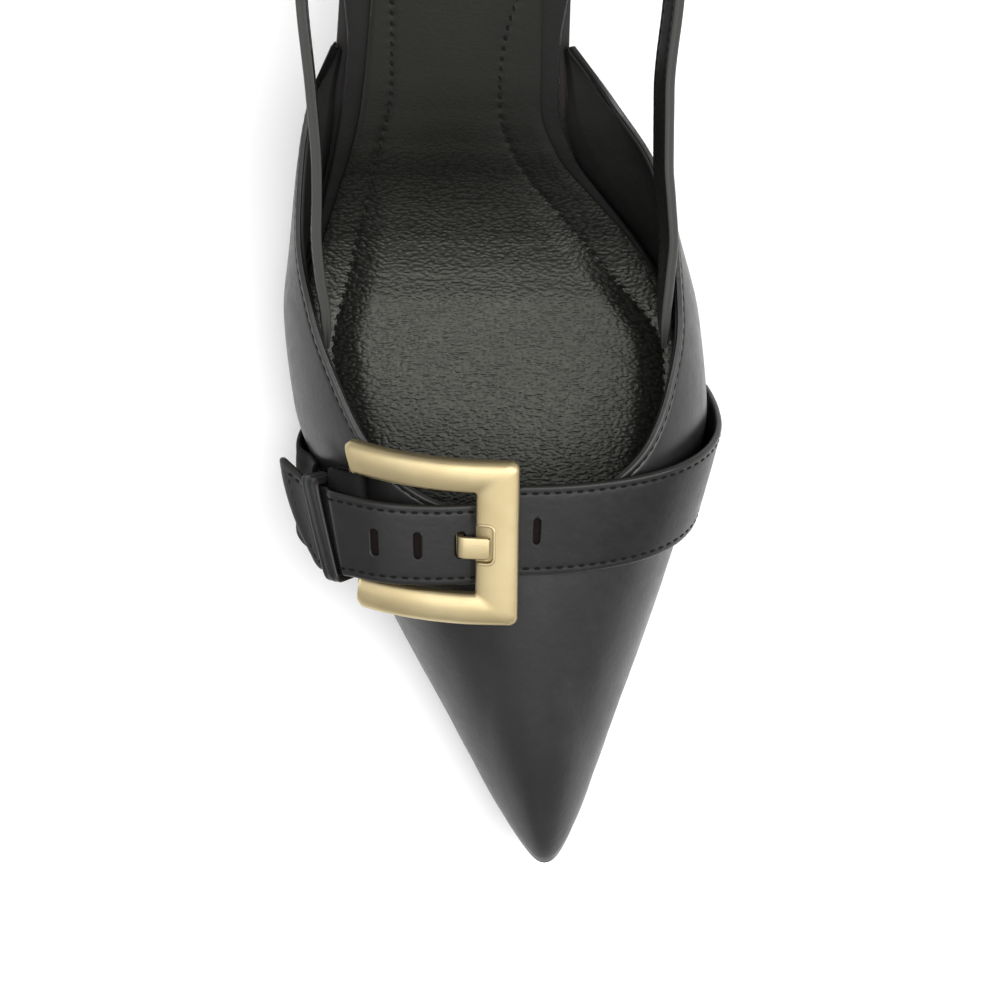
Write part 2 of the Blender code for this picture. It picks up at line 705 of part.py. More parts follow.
def keeper():
    """Fixed loop round the fixed strap and the tail."""
    high = TAIL_IN_KEEPER + (BELT_THICKNESS + KEEPER_THICKNESS) / 2 + FIT
    half = TAIL_HALF + FIT + KEEPER_THICKNESS / 2
    corner = KEEPER_THICKNESS / 2
    path = (
        (-half + corner, KEEPER_UNDER), (0, KEEPER_UNDER), (half - corner, KEEPER_UNDER),
        (half, KEEPER_UNDER + corner), (half, high - corner),
        (half - corner, high), (half / 2, high), (0, high), (-half / 2, high), (-half + corner, high),
        (-half, high - corner), (-half, KEEPER_UNDER + corner),
    )
    rows = [[on_arch(-KEEPER_RUN + KEEPER_WIDTH * step, across, lift) for step in (-0.5, 0, 0.5)]
            for across, lift in path]
    made = new_object("keeper", sheet(rows, ring=True), BLACK, 0.45)
    thicken(made, KEEPER_THICKNESS, 0)
    return made


def bar_section(inside, outside, low, thickness):
    """Six points of the frame's section, from the inner lower edge over the crest."""
    shares = ((0, 0), (0.03, 0.62), (0.25, 0.94), (0.62, 1.0), (0.94, 0.66), (1, 0.1))
    inside = np.array(inside)
    outside = np.array(outside)
    return [(*(inside + (outside - inside) * part), low + thickness * rise) for part, rise in shares]


def buckle_frame():
    """Wide bevelled frame, curved over the vamp, with a slim bar hidden under the tail."""
    window = WINDOW_WIDTH / 2
    outer = window + ARM_WIDTH
    right_in = -RIGHT_BAR_INSIDE
    right_out = FRAME_END
    left_in = -HIDDEN_RUN + HIDDEN_BAR / 2
    left_out = -HIDDEN_RUN - HIDDEN_BAR / 2
    slim = (BAR_LOW, HIDDEN_BAR)
    wide = (FRAME_LOW, BAR_THICKNESS)

    def corner(side, end, reverse):
        """Stations round one corner, from the arm to the cross bar."""
        run_in, run_out = (right_in, right_out) if end > 0 else (left_in, left_out)
        made = []
        for i in range(5):
            angle = pi / 2 * i / 4
            swing = np.array((end * sin(angle), side * cos(angle)))
            inside = np.array((run_in - end * INNER_ROUND, side * (window - INNER_ROUND)))
            outside = np.array((run_out - end * OUTER_ROUND, side * (outer - OUTER_ROUND)))
            inside += INNER_ROUND * swing
            outside += OUTER_ROUND * swing
            made.append((inside, outside, slim if end < 0 and i > 3 else wide))
        return made[::-1] if reverse else made

    stations = [((left_in, window * step), (left_out, window * step), slim) for step in (-0.6, 0, 0.6)]
    stations += corner(1, -1, True)
    arm = [left_in + (right_in - left_in) * i / 7 for i in range(1, 7)]
    stations += [((run, window), (run, outer), wide) for run in arm]
    stations += corner(1, 1, False)
    notch = NOTCH_WIDTH / 2
    rim = [(notch + NOTCH_LIP, 0), (notch - NOTCH_LIP, 0.6), (notch * 0.6, 1)]
    rim += [(-width, depth) for width, depth in reversed(rim)]
    for width, depth in rim:
        stations.append(((right_in + NOTCH_DEPTH * depth, width), (right_out, width), wide))
    stations += corner(-1, 1, True)
    stations += [((run, -window), (run, -outer), wide) for run in reversed(arm)]
    stations += corner(-1, -1, False)
    rings = []
    for inside, outside, (low, thickness) in stations:
        section = bar_section(inside, outside, low, thickness)
        rings.append([on_arch(run, width + FRAME_SHIFT, lift, False) for run, width, lift in section])
    return new_object("buckle_frame", loft(rings, closed=True), BRASS, 0.3, 1.0)


def buckle_prong():
    """Flat prong hooked round the hidden bar, up through the slot, into the notch."""
    high = FRAME_LOW + BAR_THICKNESS * 0.55
    back = HIDDEN_RUN + HIDDEN_BAR / 2 + FIT + PRONG_THICKNESS / 2
    shift = FRAME_SHIFT + BELT_STEP
    path = (
        (-back, BAR_HIGH - FIT, 0.5), (-back, BAR_LOW, 0.8), (-back + 2 * FIT, PRONG_LOW + FIT, 1),
        (-HIDDEN_RUN, PRONG_LOW, 1), (-HIDDEN_RUN + WINDOW_LENGTH * 0.25, PRONG_LOW, 1),
        (-HIDDEN_RUN + WINDOW_LENGTH * 0.5, PRONG_LOW, 1),
        (-PRONG_SLOT_RUN - PRONG_SLOT * 0.55, PRONG_LOW, 1),
        (-PRONG_SLOT_RUN + PRONG_SLOT * 0.55, high * 0.75, 1),
        (-RIGHT_BAR_INSIDE, high, 1), (-RIGHT_BAR_INSIDE + NOTCH_DEPTH * 0.5, high, 0.94),
        (-RIGHT_BAR_INSIDE + NOTCH_DEPTH - 2 * FIT, high, 0.72),
    )
    rows = []
    for run, lift, share in path:
        near = max(0, 1 - (-run - RIGHT_BAR_INSIDE) / (PRONG_REACH - PRONG_SLOT / 2))
        rows.append([on_arch(run, shift * min(near, 1) + side * PRONG_WIDTH / 2 * share, lift)
                     for side in (-1, 0, 1)])
    made = new_object("buckle_prong", sheet(rows), BRASS, 0.3, 1.0)
    thicken(made, PRONG_THICKNESS, 0)
    return made


for old in list(bpy.data.objects):
    bpy.data.objects.remove(old, do_unlink=True)
parts = bpy.data.collections.new("slingback_pump")
bpy.context.scene.collection.children.link(parts)

outsole()
insole()
sock()
upper()
heel()
heel_tip()
sling_strap()
belt()
belt_fold()
keeper()
buckle_frame()
buckle_prong()
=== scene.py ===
import json
from math import cos, pi, sin, sqrt

import bmesh
import bpy
import numpy as np
from mathutils import Matrix, Vector

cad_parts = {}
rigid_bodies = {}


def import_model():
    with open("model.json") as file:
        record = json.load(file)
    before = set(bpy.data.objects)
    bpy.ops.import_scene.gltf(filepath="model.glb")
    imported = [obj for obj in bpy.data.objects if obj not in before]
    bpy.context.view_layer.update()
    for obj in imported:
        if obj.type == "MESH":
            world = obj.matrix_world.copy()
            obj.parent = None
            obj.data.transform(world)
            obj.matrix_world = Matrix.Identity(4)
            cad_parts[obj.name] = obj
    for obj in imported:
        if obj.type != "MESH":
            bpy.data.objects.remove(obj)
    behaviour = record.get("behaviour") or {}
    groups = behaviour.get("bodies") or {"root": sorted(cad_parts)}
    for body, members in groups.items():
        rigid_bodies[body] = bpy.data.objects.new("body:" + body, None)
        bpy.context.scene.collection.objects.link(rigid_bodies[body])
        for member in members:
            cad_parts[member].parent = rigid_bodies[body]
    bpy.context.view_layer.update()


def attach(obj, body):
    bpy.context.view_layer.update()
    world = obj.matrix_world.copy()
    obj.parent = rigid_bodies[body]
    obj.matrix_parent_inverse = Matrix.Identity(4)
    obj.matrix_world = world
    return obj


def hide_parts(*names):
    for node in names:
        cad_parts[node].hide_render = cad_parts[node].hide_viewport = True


for leftover in list(bpy.data.objects):
    bpy.data.objects.remove(leftover, do_unlink=True)
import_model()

# Outsole: a thin cut sole under the whole last, from the pointed toe over the arch to the
# seat. It is lasted and glued to the upper's margin, its edge is trimmed round and inked.

SHOE_LENGTH = 0.237
BALL_WIDTH = 0.080
SEAT_HEIGHT = 0.0575
TOE_SPRING = 0.0062
TOE_SHIFT = 0.0128
HEEL_SET_IN = 0.010
FIT = 0.0003
OUTSOLE_THICKNESS = 0.0025
EDGE_ROUND = 0.0007

# From the toe: share of the length, then half widths as shares of the ball width.
SOLE_EDGE = (
    (0.005, 0.000, 0.000),
    (0.020, 0.050, 0.050),
    (0.075, 0.134, 0.116),
    (0.127, 0.205, 0.174),
    (0.190, 0.295, 0.248),
    (0.253, 0.384, 0.319),
    (0.316, 0.462, 0.381),
    (0.371, 0.506, 0.414),
    (0.422, 0.522, 0.415),
    (0.464, 0.514, 0.388),
    (0.498, 0.488, 0.332),
    (0.532, 0.465, 0.253),
    (0.565, 0.440, 0.180),
    (0.603, 0.417, 0.146),
    (0.684, 0.387, 0.153),
    (0.780, 0.365, 0.220),
    (0.865, 0.345, 0.286),
    (0.928, 0.289, 0.266),
    (0.975, 0.173, 0.165),
    (1.000, 0.000, 0.000),
)

# Height of the sole's top over its tread: share of the length, share of the seat height.
SOLE_RISE = (
    (0.330, 0.000),
    (0.448, 0.000),
    (0.473, 0.014),
    (0.498, 0.046),
    (0.523, 0.102),
    (0.549, 0.178),
    (0.574, 0.266),
    (0.600, 0.354),
    (0.633, 0.456),
    (0.684, 0.578),
    (0.738, 0.683),
    (0.802, 0.777),
    (0.865, 0.846),
    (0.928, 0.901),
    (1.000, 0.957),
)


def smooth(points):
    """A curve through the points that never swings past them, for one place or many."""
    xs, ys = np.array(points, float).T
    step = np.diff(xs)
    slope = np.diff(ys) / step
    tangent = np.zeros(len(xs))
    tangent[0], tangent[-1] = slope[0], slope[-1]
    for i in range(1, len(xs) - 1):
        before, after = slope[i - 1], slope[i]
        if before * after > 0:
            near = 2 * step[i] + step[i - 1]
            far = step[i] + 2 * step[i - 1]
            tangent[i] = (near + far) / (near / before + far / after)

    def value(x):
        x = np.clip(x, xs[0], xs[-1])
        i = np.clip(np.searchsorted(xs, x) - 1, 0, len(xs) - 2)
        t = (x - xs[i]) / step[i]
        return ((2 * t**3 - 3 * t**2 + 1) * ys[i] + (t**3 - 2 * t**2 + t) * step[i] * tangent[i]
                + (3 * t**2 - 2 * t**3) * ys[i + 1] + (t**3 - t**2) * step[i] * tangent[i + 1])
    return value


def column_curve(rows, column):
    """The curve of one column of a table over its first."""
    return smooth([(row[0], row[column]) for row in rows])


def round_ended(rows, side):
    """Half width that grows like a round nose at both closed ends."""
    curve = smooth([(np.arccos(1 - 2 * row[0]), row[side]) for row in rows])
    return lambda share: curve(np.arccos(1 - 2 * np.clip(share, 0, 1)))


sole_outer = round_ended(SOLE_EDGE, 1)
sole_inner = round_ended(SOLE_EDGE, 2)
sole_rise = smooth(SOLE_RISE)


def axis(share):
    return TOE_SHIFT * (1 - share)


def along(share):
    return (share - 1) * SHOE_LENGTH + HEEL_SET_IN


def sole_top(share):
    toe = np.maximum(0, 1 - share / SOLE_RISE[0][0])
    return OUTSOLE_THICKNESS + sole_rise(share) * SEAT_HEIGHT + TOE_SPRING * toe**2


def over_sole(share, lift):
    """Height of a surface at a set distance over or under the sole's top."""
    small = 0.004
    slope = (sole_top(share + small) - sole_top(share - small)) / (2 * small * SHOE_LENGTH)
    return sole_top(share) + lift * np.sqrt(1 + slope * slope)


def edge_across(share, inset):
    """Outer and inner edge of a sheet that lies inside the sole's edge by the inset."""
    outer = np.maximum(sole_outer(share) * BALL_WIDTH - inset, 0.0008)
    inner = np.maximum(sole_inner(share) * BALL_WIDTH - inset, 0.0008)
    return axis(share) - outer, axis(share) + inner


def soft_step(value):
    value = np.clip(value, 0, 1)
    return value * value * (3 - 2 * value)


def unit(vectors):
    """The same directions at length one."""
    return vectors / np.maximum(np.linalg.norm(vectors, axis=-1, keepdims=True), 1e-30)


def runs_of(points):
    """Distance of each point along its line."""
    steps = np.linalg.norm(np.diff(points, axis=0), axis=1)
    return np.concatenate(([0], np.cumsum(steps)))


def at_runs(points, runs, wanted):
    """Places on the line at wanted distances along it."""
    return np.stack([np.interp(wanted, runs, points[:, c]) for c in range(points.shape[1])],
                    axis=-1)


def placed(name, data):
    """A new object in the scene."""
    made = bpy.data.objects.new(name, data)
    bpy.context.scene.collection.objects.link(made)
    return made


def skin(name, rings, joined=False, rim=None, second=None):
    """A skin through rings of points; its run and girth become its flat map, in metres.

    The rim, one value for each place round a ring, marks edges that take ink or a painted
    highlight.
    The second tells which places round a ring take the piece's second material.
    """
    rings = np.array(rings, float)
    count, around = rings.shape[:2]
    run, girth = (np.concatenate(([0], np.cumsum(
        np.linalg.norm(np.roll(rings, -1, axis=way) - rings, axis=2).mean(axis=1 - way))))
                  for way in (0, 1))
    faces, flat, picks = [], [], []
    for i in range(count if joined else count - 1):
        k = (i + 1) % count
        for j in range(around):
            m = (j + 1) % around
            faces.append((i * around + j, i * around + m, k * around + m, k * around + j))
            flat += [run[i], girth[j], run[i], girth[j + 1],
                     run[i + 1], girth[j + 1], run[i + 1], girth[j]]
            picks.append(1 if second is not None and second[j] else 0)
    if not joined:
        for i in (0, count - 1):
            faces.append(tuple(i * around + j for j in range(around)))
            for j in range(around):
                flat += [run[i], girth[j]]
            picks.append(0)
    mesh = bpy.data.meshes.new(name)
    mesh.from_pydata(rings.reshape(-1, 3).tolist(), [], faces)
    mesh.uv_layers.new(name="flat").data.foreach_set("uv", flat)
    if rim is not None:
        layer = mesh.attributes.new("rim", "FLOAT", "POINT")
        layer.data.foreach_set("value", np.tile(rim, count).astype(np.float32))
    mesh.polygons.foreach_set("material_index", picks)
    work = bmesh.new()
    work.from_mesh(mesh)
    bmesh.ops.recalc_face_normals(work, faces=work.faces)
    work.to_mesh(mesh)
    work.free()
    mesh.shade_smooth()
    mesh.set_sharp_from_angle(angle=pi / 3)
    return placed(name, mesh)


def finish_piece(made, slot, materials, *nodes):
    """Give a piece its materials and the solids that it stands for; the slot is not used."""
    for material in materials:
        made.data.materials.append(material)
    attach(made, "root")
    if nodes:
        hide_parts(*nodes)
    return made


def bottom_layer(name, ends, inset, low, high, count, across=14, rounded=EDGE_ROUND):
    """A layer along the last's bottom between two heights, with a rounded edge."""
    quarter = [(1 - sin(pi / 2 * k / 4), 1 - cos(pi / 2 * k / 4)) for k in range(5)]
    rings = []
    for i in range(count + 1):
        share = ends[0] + (ends[1] - ends[0]) * (1 - cos(pi * i / count)) / 2
        outer, inner = edge_across(share, inset(share))
        middle, half = (outer + inner) / 2, (inner - outer) / 2
        curl = min(rounded, half * 0.5)
        ring = [(middle + (half - curl) * t, high) for t in np.linspace(-1, 1, across)]
        ring += [(inner - curl * a, high - curl * b) for a, b in quarter[1:]]
        ring += [(inner - curl * a, low + curl * b) for a, b in reversed(quarter[:-1])]
        ring += [(middle - (half - curl) * t, low) for t in np.linspace(-1, 1, across)][1:-1]
        ring += [(outer + curl * a, low + curl * b) for a, b in quarter[:-1]]
        ring += [(outer + curl * a, high - curl * b) for a, b in reversed(quarter[1:])]
        rings.append([(x, along(share), over_sole(share, lift)) for x, lift in ring])
    places = len(rings[0])
    rim = np.zeros(places)
    rim[across:across + 8] = 1
    rim[-8:] = 1
    return skin(name, rings, rim=rim)


def link(tree, value, socket):
    if isinstance(value, bpy.types.NodeSocket):
        tree.links.new(value, socket)
    else:
        socket.default_value = value


def node(tree, kind, out=0, settings=(), **sockets):
    """One shader node with its settings and what goes into its sockets."""
    made = tree.nodes.new("ShaderNode" + kind)
    for key, value in dict(settings).items():
        setattr(made, key, value)
    for key, value in sockets.items():
        name = key.replace("_", " ")
        link(tree, value, made.inputs[int(key[1:]) if key[1:].isdigit() else name])
    return made.outputs[out]


def ramp(tree, value, low, high, to_low=0.0, to_high=1.0):
    return node(tree, "MapRange", i0=value, i1=low, i2=high, i3=to_low, i4=to_high)


def blend_colour(tree, share, one, two):
    """Mix of two colours; each is three numbers, or comes from another node."""
    one, two = ((*c, 1) if isinstance(c, tuple) else c for c in (one, two))
    return node(tree, "Mix", 2, {"data_type": "RGBA"}, i0=share, i6=one, i7=two)


def noise(tree, place, scale, detail, roughness=0.5, out=0):
    return node(tree, "TexNoise", out, (), Vector=place, Scale=scale, Detail=detail,
                Roughness=roughness)


def bump(tree, height, distance, strength, **under):
    return node(tree, "Bump", 0, (), Height=height, Distance=distance, Strength=strength, **under)


def new_material(name, **sockets):
    material = bpy.data.materials.new(name)
    material.use_nodes = True
    tree = material.node_tree
    shader = tree.nodes["Principled BSDF"]
    for key, value in sockets.items():
        shader.inputs[key.replace("_", " ")].default_value = value
    return material, tree, shader


def smooth_leather(name, colour, edge_ink_and_highlight, roughness, grain, depth, mottle=0.35, **sockets):
    """Black dyed leather: pores at the grain's size, slow clouds of colour and polish,
    long soft creases, and edges inked darker on the sole and given a lighter painted highlight
    elsewhere."""
    material, tree, shader = new_material(name, **sockets)
    place = node(tree, "TexCoord", 3)
    clouds = noise(tree, place, 70.0, 4.0, 0.6)
    marks = noise(tree, place, 420.0, 6.0, 0.65)
    rim = node(tree, "Attribute", 2, {"attribute_name": "rim"})
    tint = ramp(tree, clouds, 0.3, 0.7, 0.0, mottle)
    base = blend_colour(tree, tint, colour, tuple(c * 2.1 for c in colour))
    # The rim mixes in the edge colour: ink on the sole, a painted highlight on the upper, belt,
    # keeper and sling strap.
    link(tree, blend_colour(tree, rim, base, edge_ink_and_highlight), shader.inputs["Base Color"])
    polish = node(tree, "Math", 0, {"operation": "ADD"},
                  i0=ramp(tree, marks, 0.3, 0.7, roughness - 0.05, roughness + 0.05),
                  i1=ramp(tree, clouds, 0.3, 0.7, -0.04, 0.05))
    link(tree, polish, shader.inputs["Roughness"])
    pores = node(tree, "TexVoronoi", 0, {"feature": "SMOOTH_F1"}, Vector=place,
                 Scale=1 / grain, Smoothness=0.6, Randomness=1.0)
    soft = bump(tree, clouds, 0.0006, 0.25)
    fine = bump(tree, marks, depth, 0.5, Normal=soft)
    link(tree, bump(tree, pores, depth, 0.5, Normal=fine), shader.inputs["Normal"])
    return material


sole_leather = smooth_leather("sole_leather", (0.016, 0.014, 0.013), (0.006, 0.006, 0.006),
                              0.52, 0.0012, 0.00006, Specular_IOR_Level=0.4)
outsole = bottom_layer("outsole_leather", (0.006, 0.998), lambda share: FIT,
                       -OUTSOLE_THICKNESS, 0, 150, rounded=0.0004)
finish_piece(outsole, "sole_leather", [sole_leather], "outsole")

# Insole: the board on which the shoe is lasted, covered in black lining leather. It is
# cemented inside the upper's margin, and shows as a bare rim beside the padded sock.

INSOLE_THICKNESS = 0.0030
UPPER_WALL = 0.0016


def insole_inset(share):
    """The insole lies inside the upper's wall, and reaches the sole's edge behind it."""
    behind = np.clip((share - 0.655) / 0.05, 0, 1)
    return (UPPER_WALL + 2 * FIT) * (1 - behind) + FIT * behind


lining_leather = smooth_leather("lining_leather", (0.0060, 0.0060, 0.0057), (0.006, 0.006, 0.006),
                                0.5, 0.0007, 0.00005, Specular_IOR_Level=0.22)
insole = bottom_layer("insole_cover", (0.022, 0.997), insole_inset, FIT,
                      FIT + INSOLE_THICKNESS, 150)
finish_piece(insole, "lining_leather", [lining_leather], "insole")

# Sock: a shaped cover of soft wrinkled leather over foam, sewn round its edge and glued
# on the insole. Its foam swells inside the sewn line, most of all under the ball.

SOCK_THICKNESS = 0.0016
SOCK_RIM = 0.0008
SOCK_INSET = 0.0034
SEWN_INSIDE = 0.0012
PUFF_REACH = 0.0062
SEAM_PITCH = 0.0021

# Sewn line: share of the length, outer and inner place from the middle as shares of the
# ball width, then the foam's swell inside it as a share of the sock's thickness.
SEWN_LINE = (
    (0.060, 0.040, 0.030, 0.1),
    (0.100, 0.105, 0.085, 0.3),
    (0.200, 0.250, 0.200, 0.7),
    (0.300, 0.375, 0.300, 1.0),
    (0.360, 0.420, 0.345, 1.0),
    (0.410, 0.432, 0.352, 1.0),
    (0.434, 0.419, 0.324, 1.0),
    (0.462, 0.392, 0.257, 1.0),
    (0.491, 0.368, 0.188, 0.85),
    (0.519, 0.344, 0.119, 0.5),
    (0.546, 0.321, 0.048, 0.25),
    (0.578, 0.297, -0.006, 0.2),
    (0.601, 0.279, -0.022, 0.2),
    (0.624, 0.271, -0.021, 0.2),
    (0.654, 0.268, -0.008, 0.2),
    (0.684, 0.265, 0.019, 0.2),
    (0.780, 0.240, 0.094, 0.3),
    (0.865, 0.219, 0.160, 0.3),
    (0.928, 0.163, 0.140, 0.3),
    (0.972, 0.050, 0.045, 0.1),
)
sewn_outer = column_curve(SEWN_LINE, 1)
sewn_inner = column_curve(SEWN_LINE, 2)
swell = column_curve(SEWN_LINE, 3)


def sock_inset(share):
    return UPPER_WALL + 3 * FIT + SOCK_INSET * soft_step((share - 0.42) / 0.19)


def sock_row(share, pucker):
    """Places across and lifts of the sock's top, with the sewn channel on both sides."""
    outer, inner = edge_across(share, sock_inset(share))
    middle = axis(share)
    left = middle - sewn_outer(share) * BALL_WIDTH
    right = middle + sewn_inner(share) * BALL_WIDTH
    left = max(left, outer + SEWN_INSIDE)
    right = min(right, inner - SEWN_INSIDE)
    if right < left + SEWN_INSIDE / 3:
        left = right = (left + right) / 2
    room = (right - left) / 2
    puff = SOCK_THICKNESS * swell(share)
    places = []
    rim = [0.0, 0.15, 0.35, 0.6, 0.8, 0.92]
    channel = [-0.35, 0.0, 0.35, 0.8]
    rise = [1.4, 2.2, 3.2, 4.4, 5.6, 7.0, 9.0]
    for side, seam, edge in ((-1, left, outer), (1, right, inner)):
        half = []
        wide = abs(edge - seam)
        for t in rim:
            away = wide * (1 - t)
            curl = SOCK_RIM * 0.45 * (1 - min(t / 0.15, 1))
            half.append((edge - side * wide * t, SOCK_RIM - curl - dip(away, pucker)))
        for step in channel + rise:
            inside = min(step * 0.001, room * (step + 0.4) / 9.5)
            lift = SOCK_RIM - dip(abs(inside), pucker)
            lift += puff * soft_step(max(inside, 0) / PUFF_REACH)**0.8
            half.append((seam - side * inside, lift))
        places.append(half)
    start, end = places[0][-1], places[1][-1]
    flat = [(start[0] + (end[0] - start[0]) * t, start[1] + (end[1] - start[1]) * t)
            for t in np.linspace(0, 1, 14)[1:-1]]
    return places[0] + flat + places[1][::-1]


def dip(away, pucker):
    """Depth of the sewn channel at a distance from the seam."""
    return (0.00026 + 0.00008 * pucker) * np.exp(-(away / 0.00060)**2)


sock_base = 2 * FIT + INSOLE_THICKNESS
SOCK_ROWS = 620
rings = []
for i in range(SOCK_ROWS + 1):
    share = 0.030 + 0.956 * (0.85 * i / SOCK_ROWS + 0.15 * (1 - cos(pi * i / SOCK_ROWS)) / 2)
    pucker = cos(2 * pi * share * SHOE_LENGTH / SEAM_PITCH)
    row = sock_row(share, pucker)
    under = [(row[0][0] + (row[-1][0] - row[0][0]) * t, 0.0) for t in np.linspace(1, 0, 6)]
    rings.append([(x, along(share), over_sole(share, sock_base + lift)) for x, lift in row + under])


def wrinkled_leather(name, colour, pale):
    """Soft sheepskin-like leather: fine wrinkles that run across the shoe, pores between
    them, stronger on the swollen ball and nearly smooth on the arch. The wrinkle crests
    are coloured paler as a painted highlight, most of all on the ball."""
    material, tree, shader = new_material(name, Specular_IOR_Level=0.34,
                                          Specular_Tint=(1.0, 1.0, 0.90, 1))
    place = node(tree, "TexCoord", 3)
    drawn = node(tree, "Mapping", 0, (), Vector=place, Scale=(0.55, 1.0, 0.8))
    wander = noise(tree, place, 220.0, 2.0, out=1)
    bent = node(tree, "VectorMath", 0, {"operation": "MULTIPLY_ADD"},
                i0=wander, i1=(0.0009, 0.0009, 0.0009), i2=drawn)
    folds = node(tree, "TexVoronoi", 0, {"feature": "SMOOTH_F1"}, Vector=bent, Scale=2000.0,
                 Smoothness=1.0, Randomness=0.85)
    broad = noise(tree, drawn, 1700.0, 2.0)
    pores = noise(tree, place, 3600.0, 2.0)
    clouds = noise(tree, place, 60.0, 3.0)
    split = node(tree, "SeparateXYZ", 1, (), Vector=place)
    ball = ramp(tree, split, along(0.58), along(0.50), 0.12, 1.0)
    crest = ramp(tree, folds, 0.62, 0.25)
    deep = node(tree, "Math", 0, {"operation": "MULTIPLY"}, i0=crest, i1=ball)
    wide = node(tree, "Math", 0, {"operation": "MULTIPLY"}, i0=broad, i1=ball)
    # Painted highlight: wrinkle crests take the pale colour, most of all on the ball.
    link(tree, blend_colour(tree, deep, colour, pale), shader.inputs["Base Color"])
    link(tree, ramp(tree, clouds, 0.3, 0.7, 0.33, 0.40), shader.inputs["Roughness"])
    first = bump(tree, wide, 0.00008, 0.6)
    second = bump(tree, deep, 0.00014, 0.6, Normal=first)
    link(tree, bump(tree, pores, 0.00004, 0.4, Normal=second), shader.inputs["Normal"])
    return material


sock_leather = wrinkled_leather("sock_leather", (0.0055, 0.0058, 0.0050), (0.0150, 0.0155, 0.0135))
sock = skin("padded_sock", rings)
finish_piece(sock, "lining_leather", [sock_leather], "sock")


def sew(name, rows, pitch, length, width, height, slant=0.0):
    """Thread along rows of points with their upward directions, one loop for each stitch."""
    turns, sides = 6, 6
    shape = []
    for i in range(turns + 1):
        t = i / turns * 2 - 1
        thick = sqrt(max(1 - abs(t)**2.6, 0)) + 0.02
        for j in range(sides):
            angle = 2 * pi * j / sides
            shape.append((t * length / 2, cos(angle) * width / 2 * thick,
                          sin(angle) * height / 2 * thick))
    shape = np.array(shape)
    points, faces = [], []
    for line, ups in rows:
        run = runs_of(line)
        for k in range(int((run[-1] - length) / pitch) + 1):
            at = length / 2 + k * pitch
            place = at_runs(line, run, at)
            ahead = unit(at_runs(line, run, at + length / 4) - at_runs(line, run, at - length / 4))
            side = unit(np.cross(at_runs(ups, run, at), ahead))
            up = np.cross(ahead, side)
            turned = ahead * cos(slant) + side * sin(slant)
            side = np.cross(up, turned)
            base = len(points)
            points += [place + turned * a + side * b + up * c for a, b, c in shape]
            for i in range(turns):
                for j in range(sides):
                    m = (j + 1) % sides
                    faces.append((base + i * sides + j, base + i * sides + m,
                                  base + (i + 1) * sides + m, base + (i + 1) * sides + j))
    mesh = bpy.data.meshes.new(name)
    mesh.from_pydata([tuple(p) for p in points], [], faces)
    mesh.shade_smooth()
    return placed(name, mesh)


def twisted_thread(name, colour, roughness=0.8):
    """Waxed thread: fine diagonal strands, dull all over."""
    material, tree, shader = new_material(name, Roughness=roughness, Specular_IOR_Level=0.12)
    place = node(tree, "TexCoord", 3)
    strands = node(tree, "TexWave", 1, {"bands_direction": "DIAGONAL"}, Vector=place,
                   Scale=1400.0, Distortion=1.0)
    link(tree, blend_colour(tree, strands, colour, tuple(c * 2.5 for c in colour)),
         shader.inputs["Base Color"])
    link(tree, bump(tree, strands, 0.00004, 0.6), shader.inputs["Normal"])
    return material


black_thread = twisted_thread("black_thread", (0.0025, 0.0025, 0.0025))
seams = []
for side, seam in ((-1, sewn_outer), (1, sewn_inner)):
    shares = np.linspace(0.10, 0.955, 700)
    across = axis(shares) + side * seam(shares) * BALL_WIDTH
    heights = over_sole(shares, sock_base + SOCK_RIM - 0.00022)
    line = np.stack([across, along(shares), heights], axis=1)
    slope = np.gradient(heights, along(shares))
    ups = np.stack([0 * shares, -slope, 0 * shares + 1], axis=1)
    seams.append((line, unit(ups)))
sock_seam = sew("sock_seam", seams, SEAM_PITCH, 0.00125, 0.00062, 0.0003, slant=0.45)
finish_piece(sock_seam, "lining_leather", [black_thread])

# Upper: one shell of black box leather with a lining, drawn over the last and closed at
# the pointed toe. Its topline is folded over the lining and sewn close to the edge.

THROAT_HEIGHT = 0.0376
TOE_CURVE = 0.3376 * SHOE_LENGTH
SIDE_CURVE = 0.3875 * BALL_WIDTH

# Widest line of the upper: share of the length, half widths as shares of the ball width.
UPPER_WIDEST = (
    (0.000, 0.000, 0.000),
    (0.017, 0.054, 0.054),
    (0.059, 0.124, 0.113),
    (0.118, 0.207, 0.184),
    (0.177, 0.293, 0.256),
    (0.236, 0.376, 0.324),
    (0.304, 0.473, 0.395),
    (0.371, 0.533, 0.441),
    (0.439, 0.546, 0.430),
    (0.498, 0.523, 0.393),
    (0.557, 0.498, 0.342),
    (0.608, 0.465, 0.248),
    (0.650, 0.407, 0.156),
)

# Topline reached from each place of the widest line, for the outer and the inner side:
# share along, share across, share of the throat height.
TOPLINE = (
    (0.000, 0.285, 0.052, 1.000, 0.285, -0.052, 1.000),
    (0.017, 0.285, 0.071, 1.000, 0.285, -0.031, 1.000),
    (0.059, 0.286, 0.104, 0.997, 0.285, 0.006, 0.997),
    (0.118, 0.289, 0.161, 0.989, 0.288, 0.064, 0.992),
    (0.177, 0.297, 0.231, 0.973, 0.296, 0.125, 0.981),
    (0.236, 0.314, 0.310, 0.947, 0.311, 0.188, 0.965),
    (0.304, 0.344, 0.384, 0.910, 0.338, 0.273, 0.931),
    (0.371, 0.386, 0.438, 0.872, 0.384, 0.336, 0.878),
    (0.439, 0.442, 0.487, 0.803, 0.440, 0.372, 0.811),
    (0.498, 0.499, 0.509, 0.718, 0.499, 0.376, 0.739),
    (0.557, 0.558, 0.493, 0.691, 0.557, 0.338, 0.707),
    (0.608, 0.609, 0.460, 0.739, 0.608, 0.245, 0.755),
    (0.650, 0.651, 0.402, 0.904, 0.650, 0.153, 0.904),
)

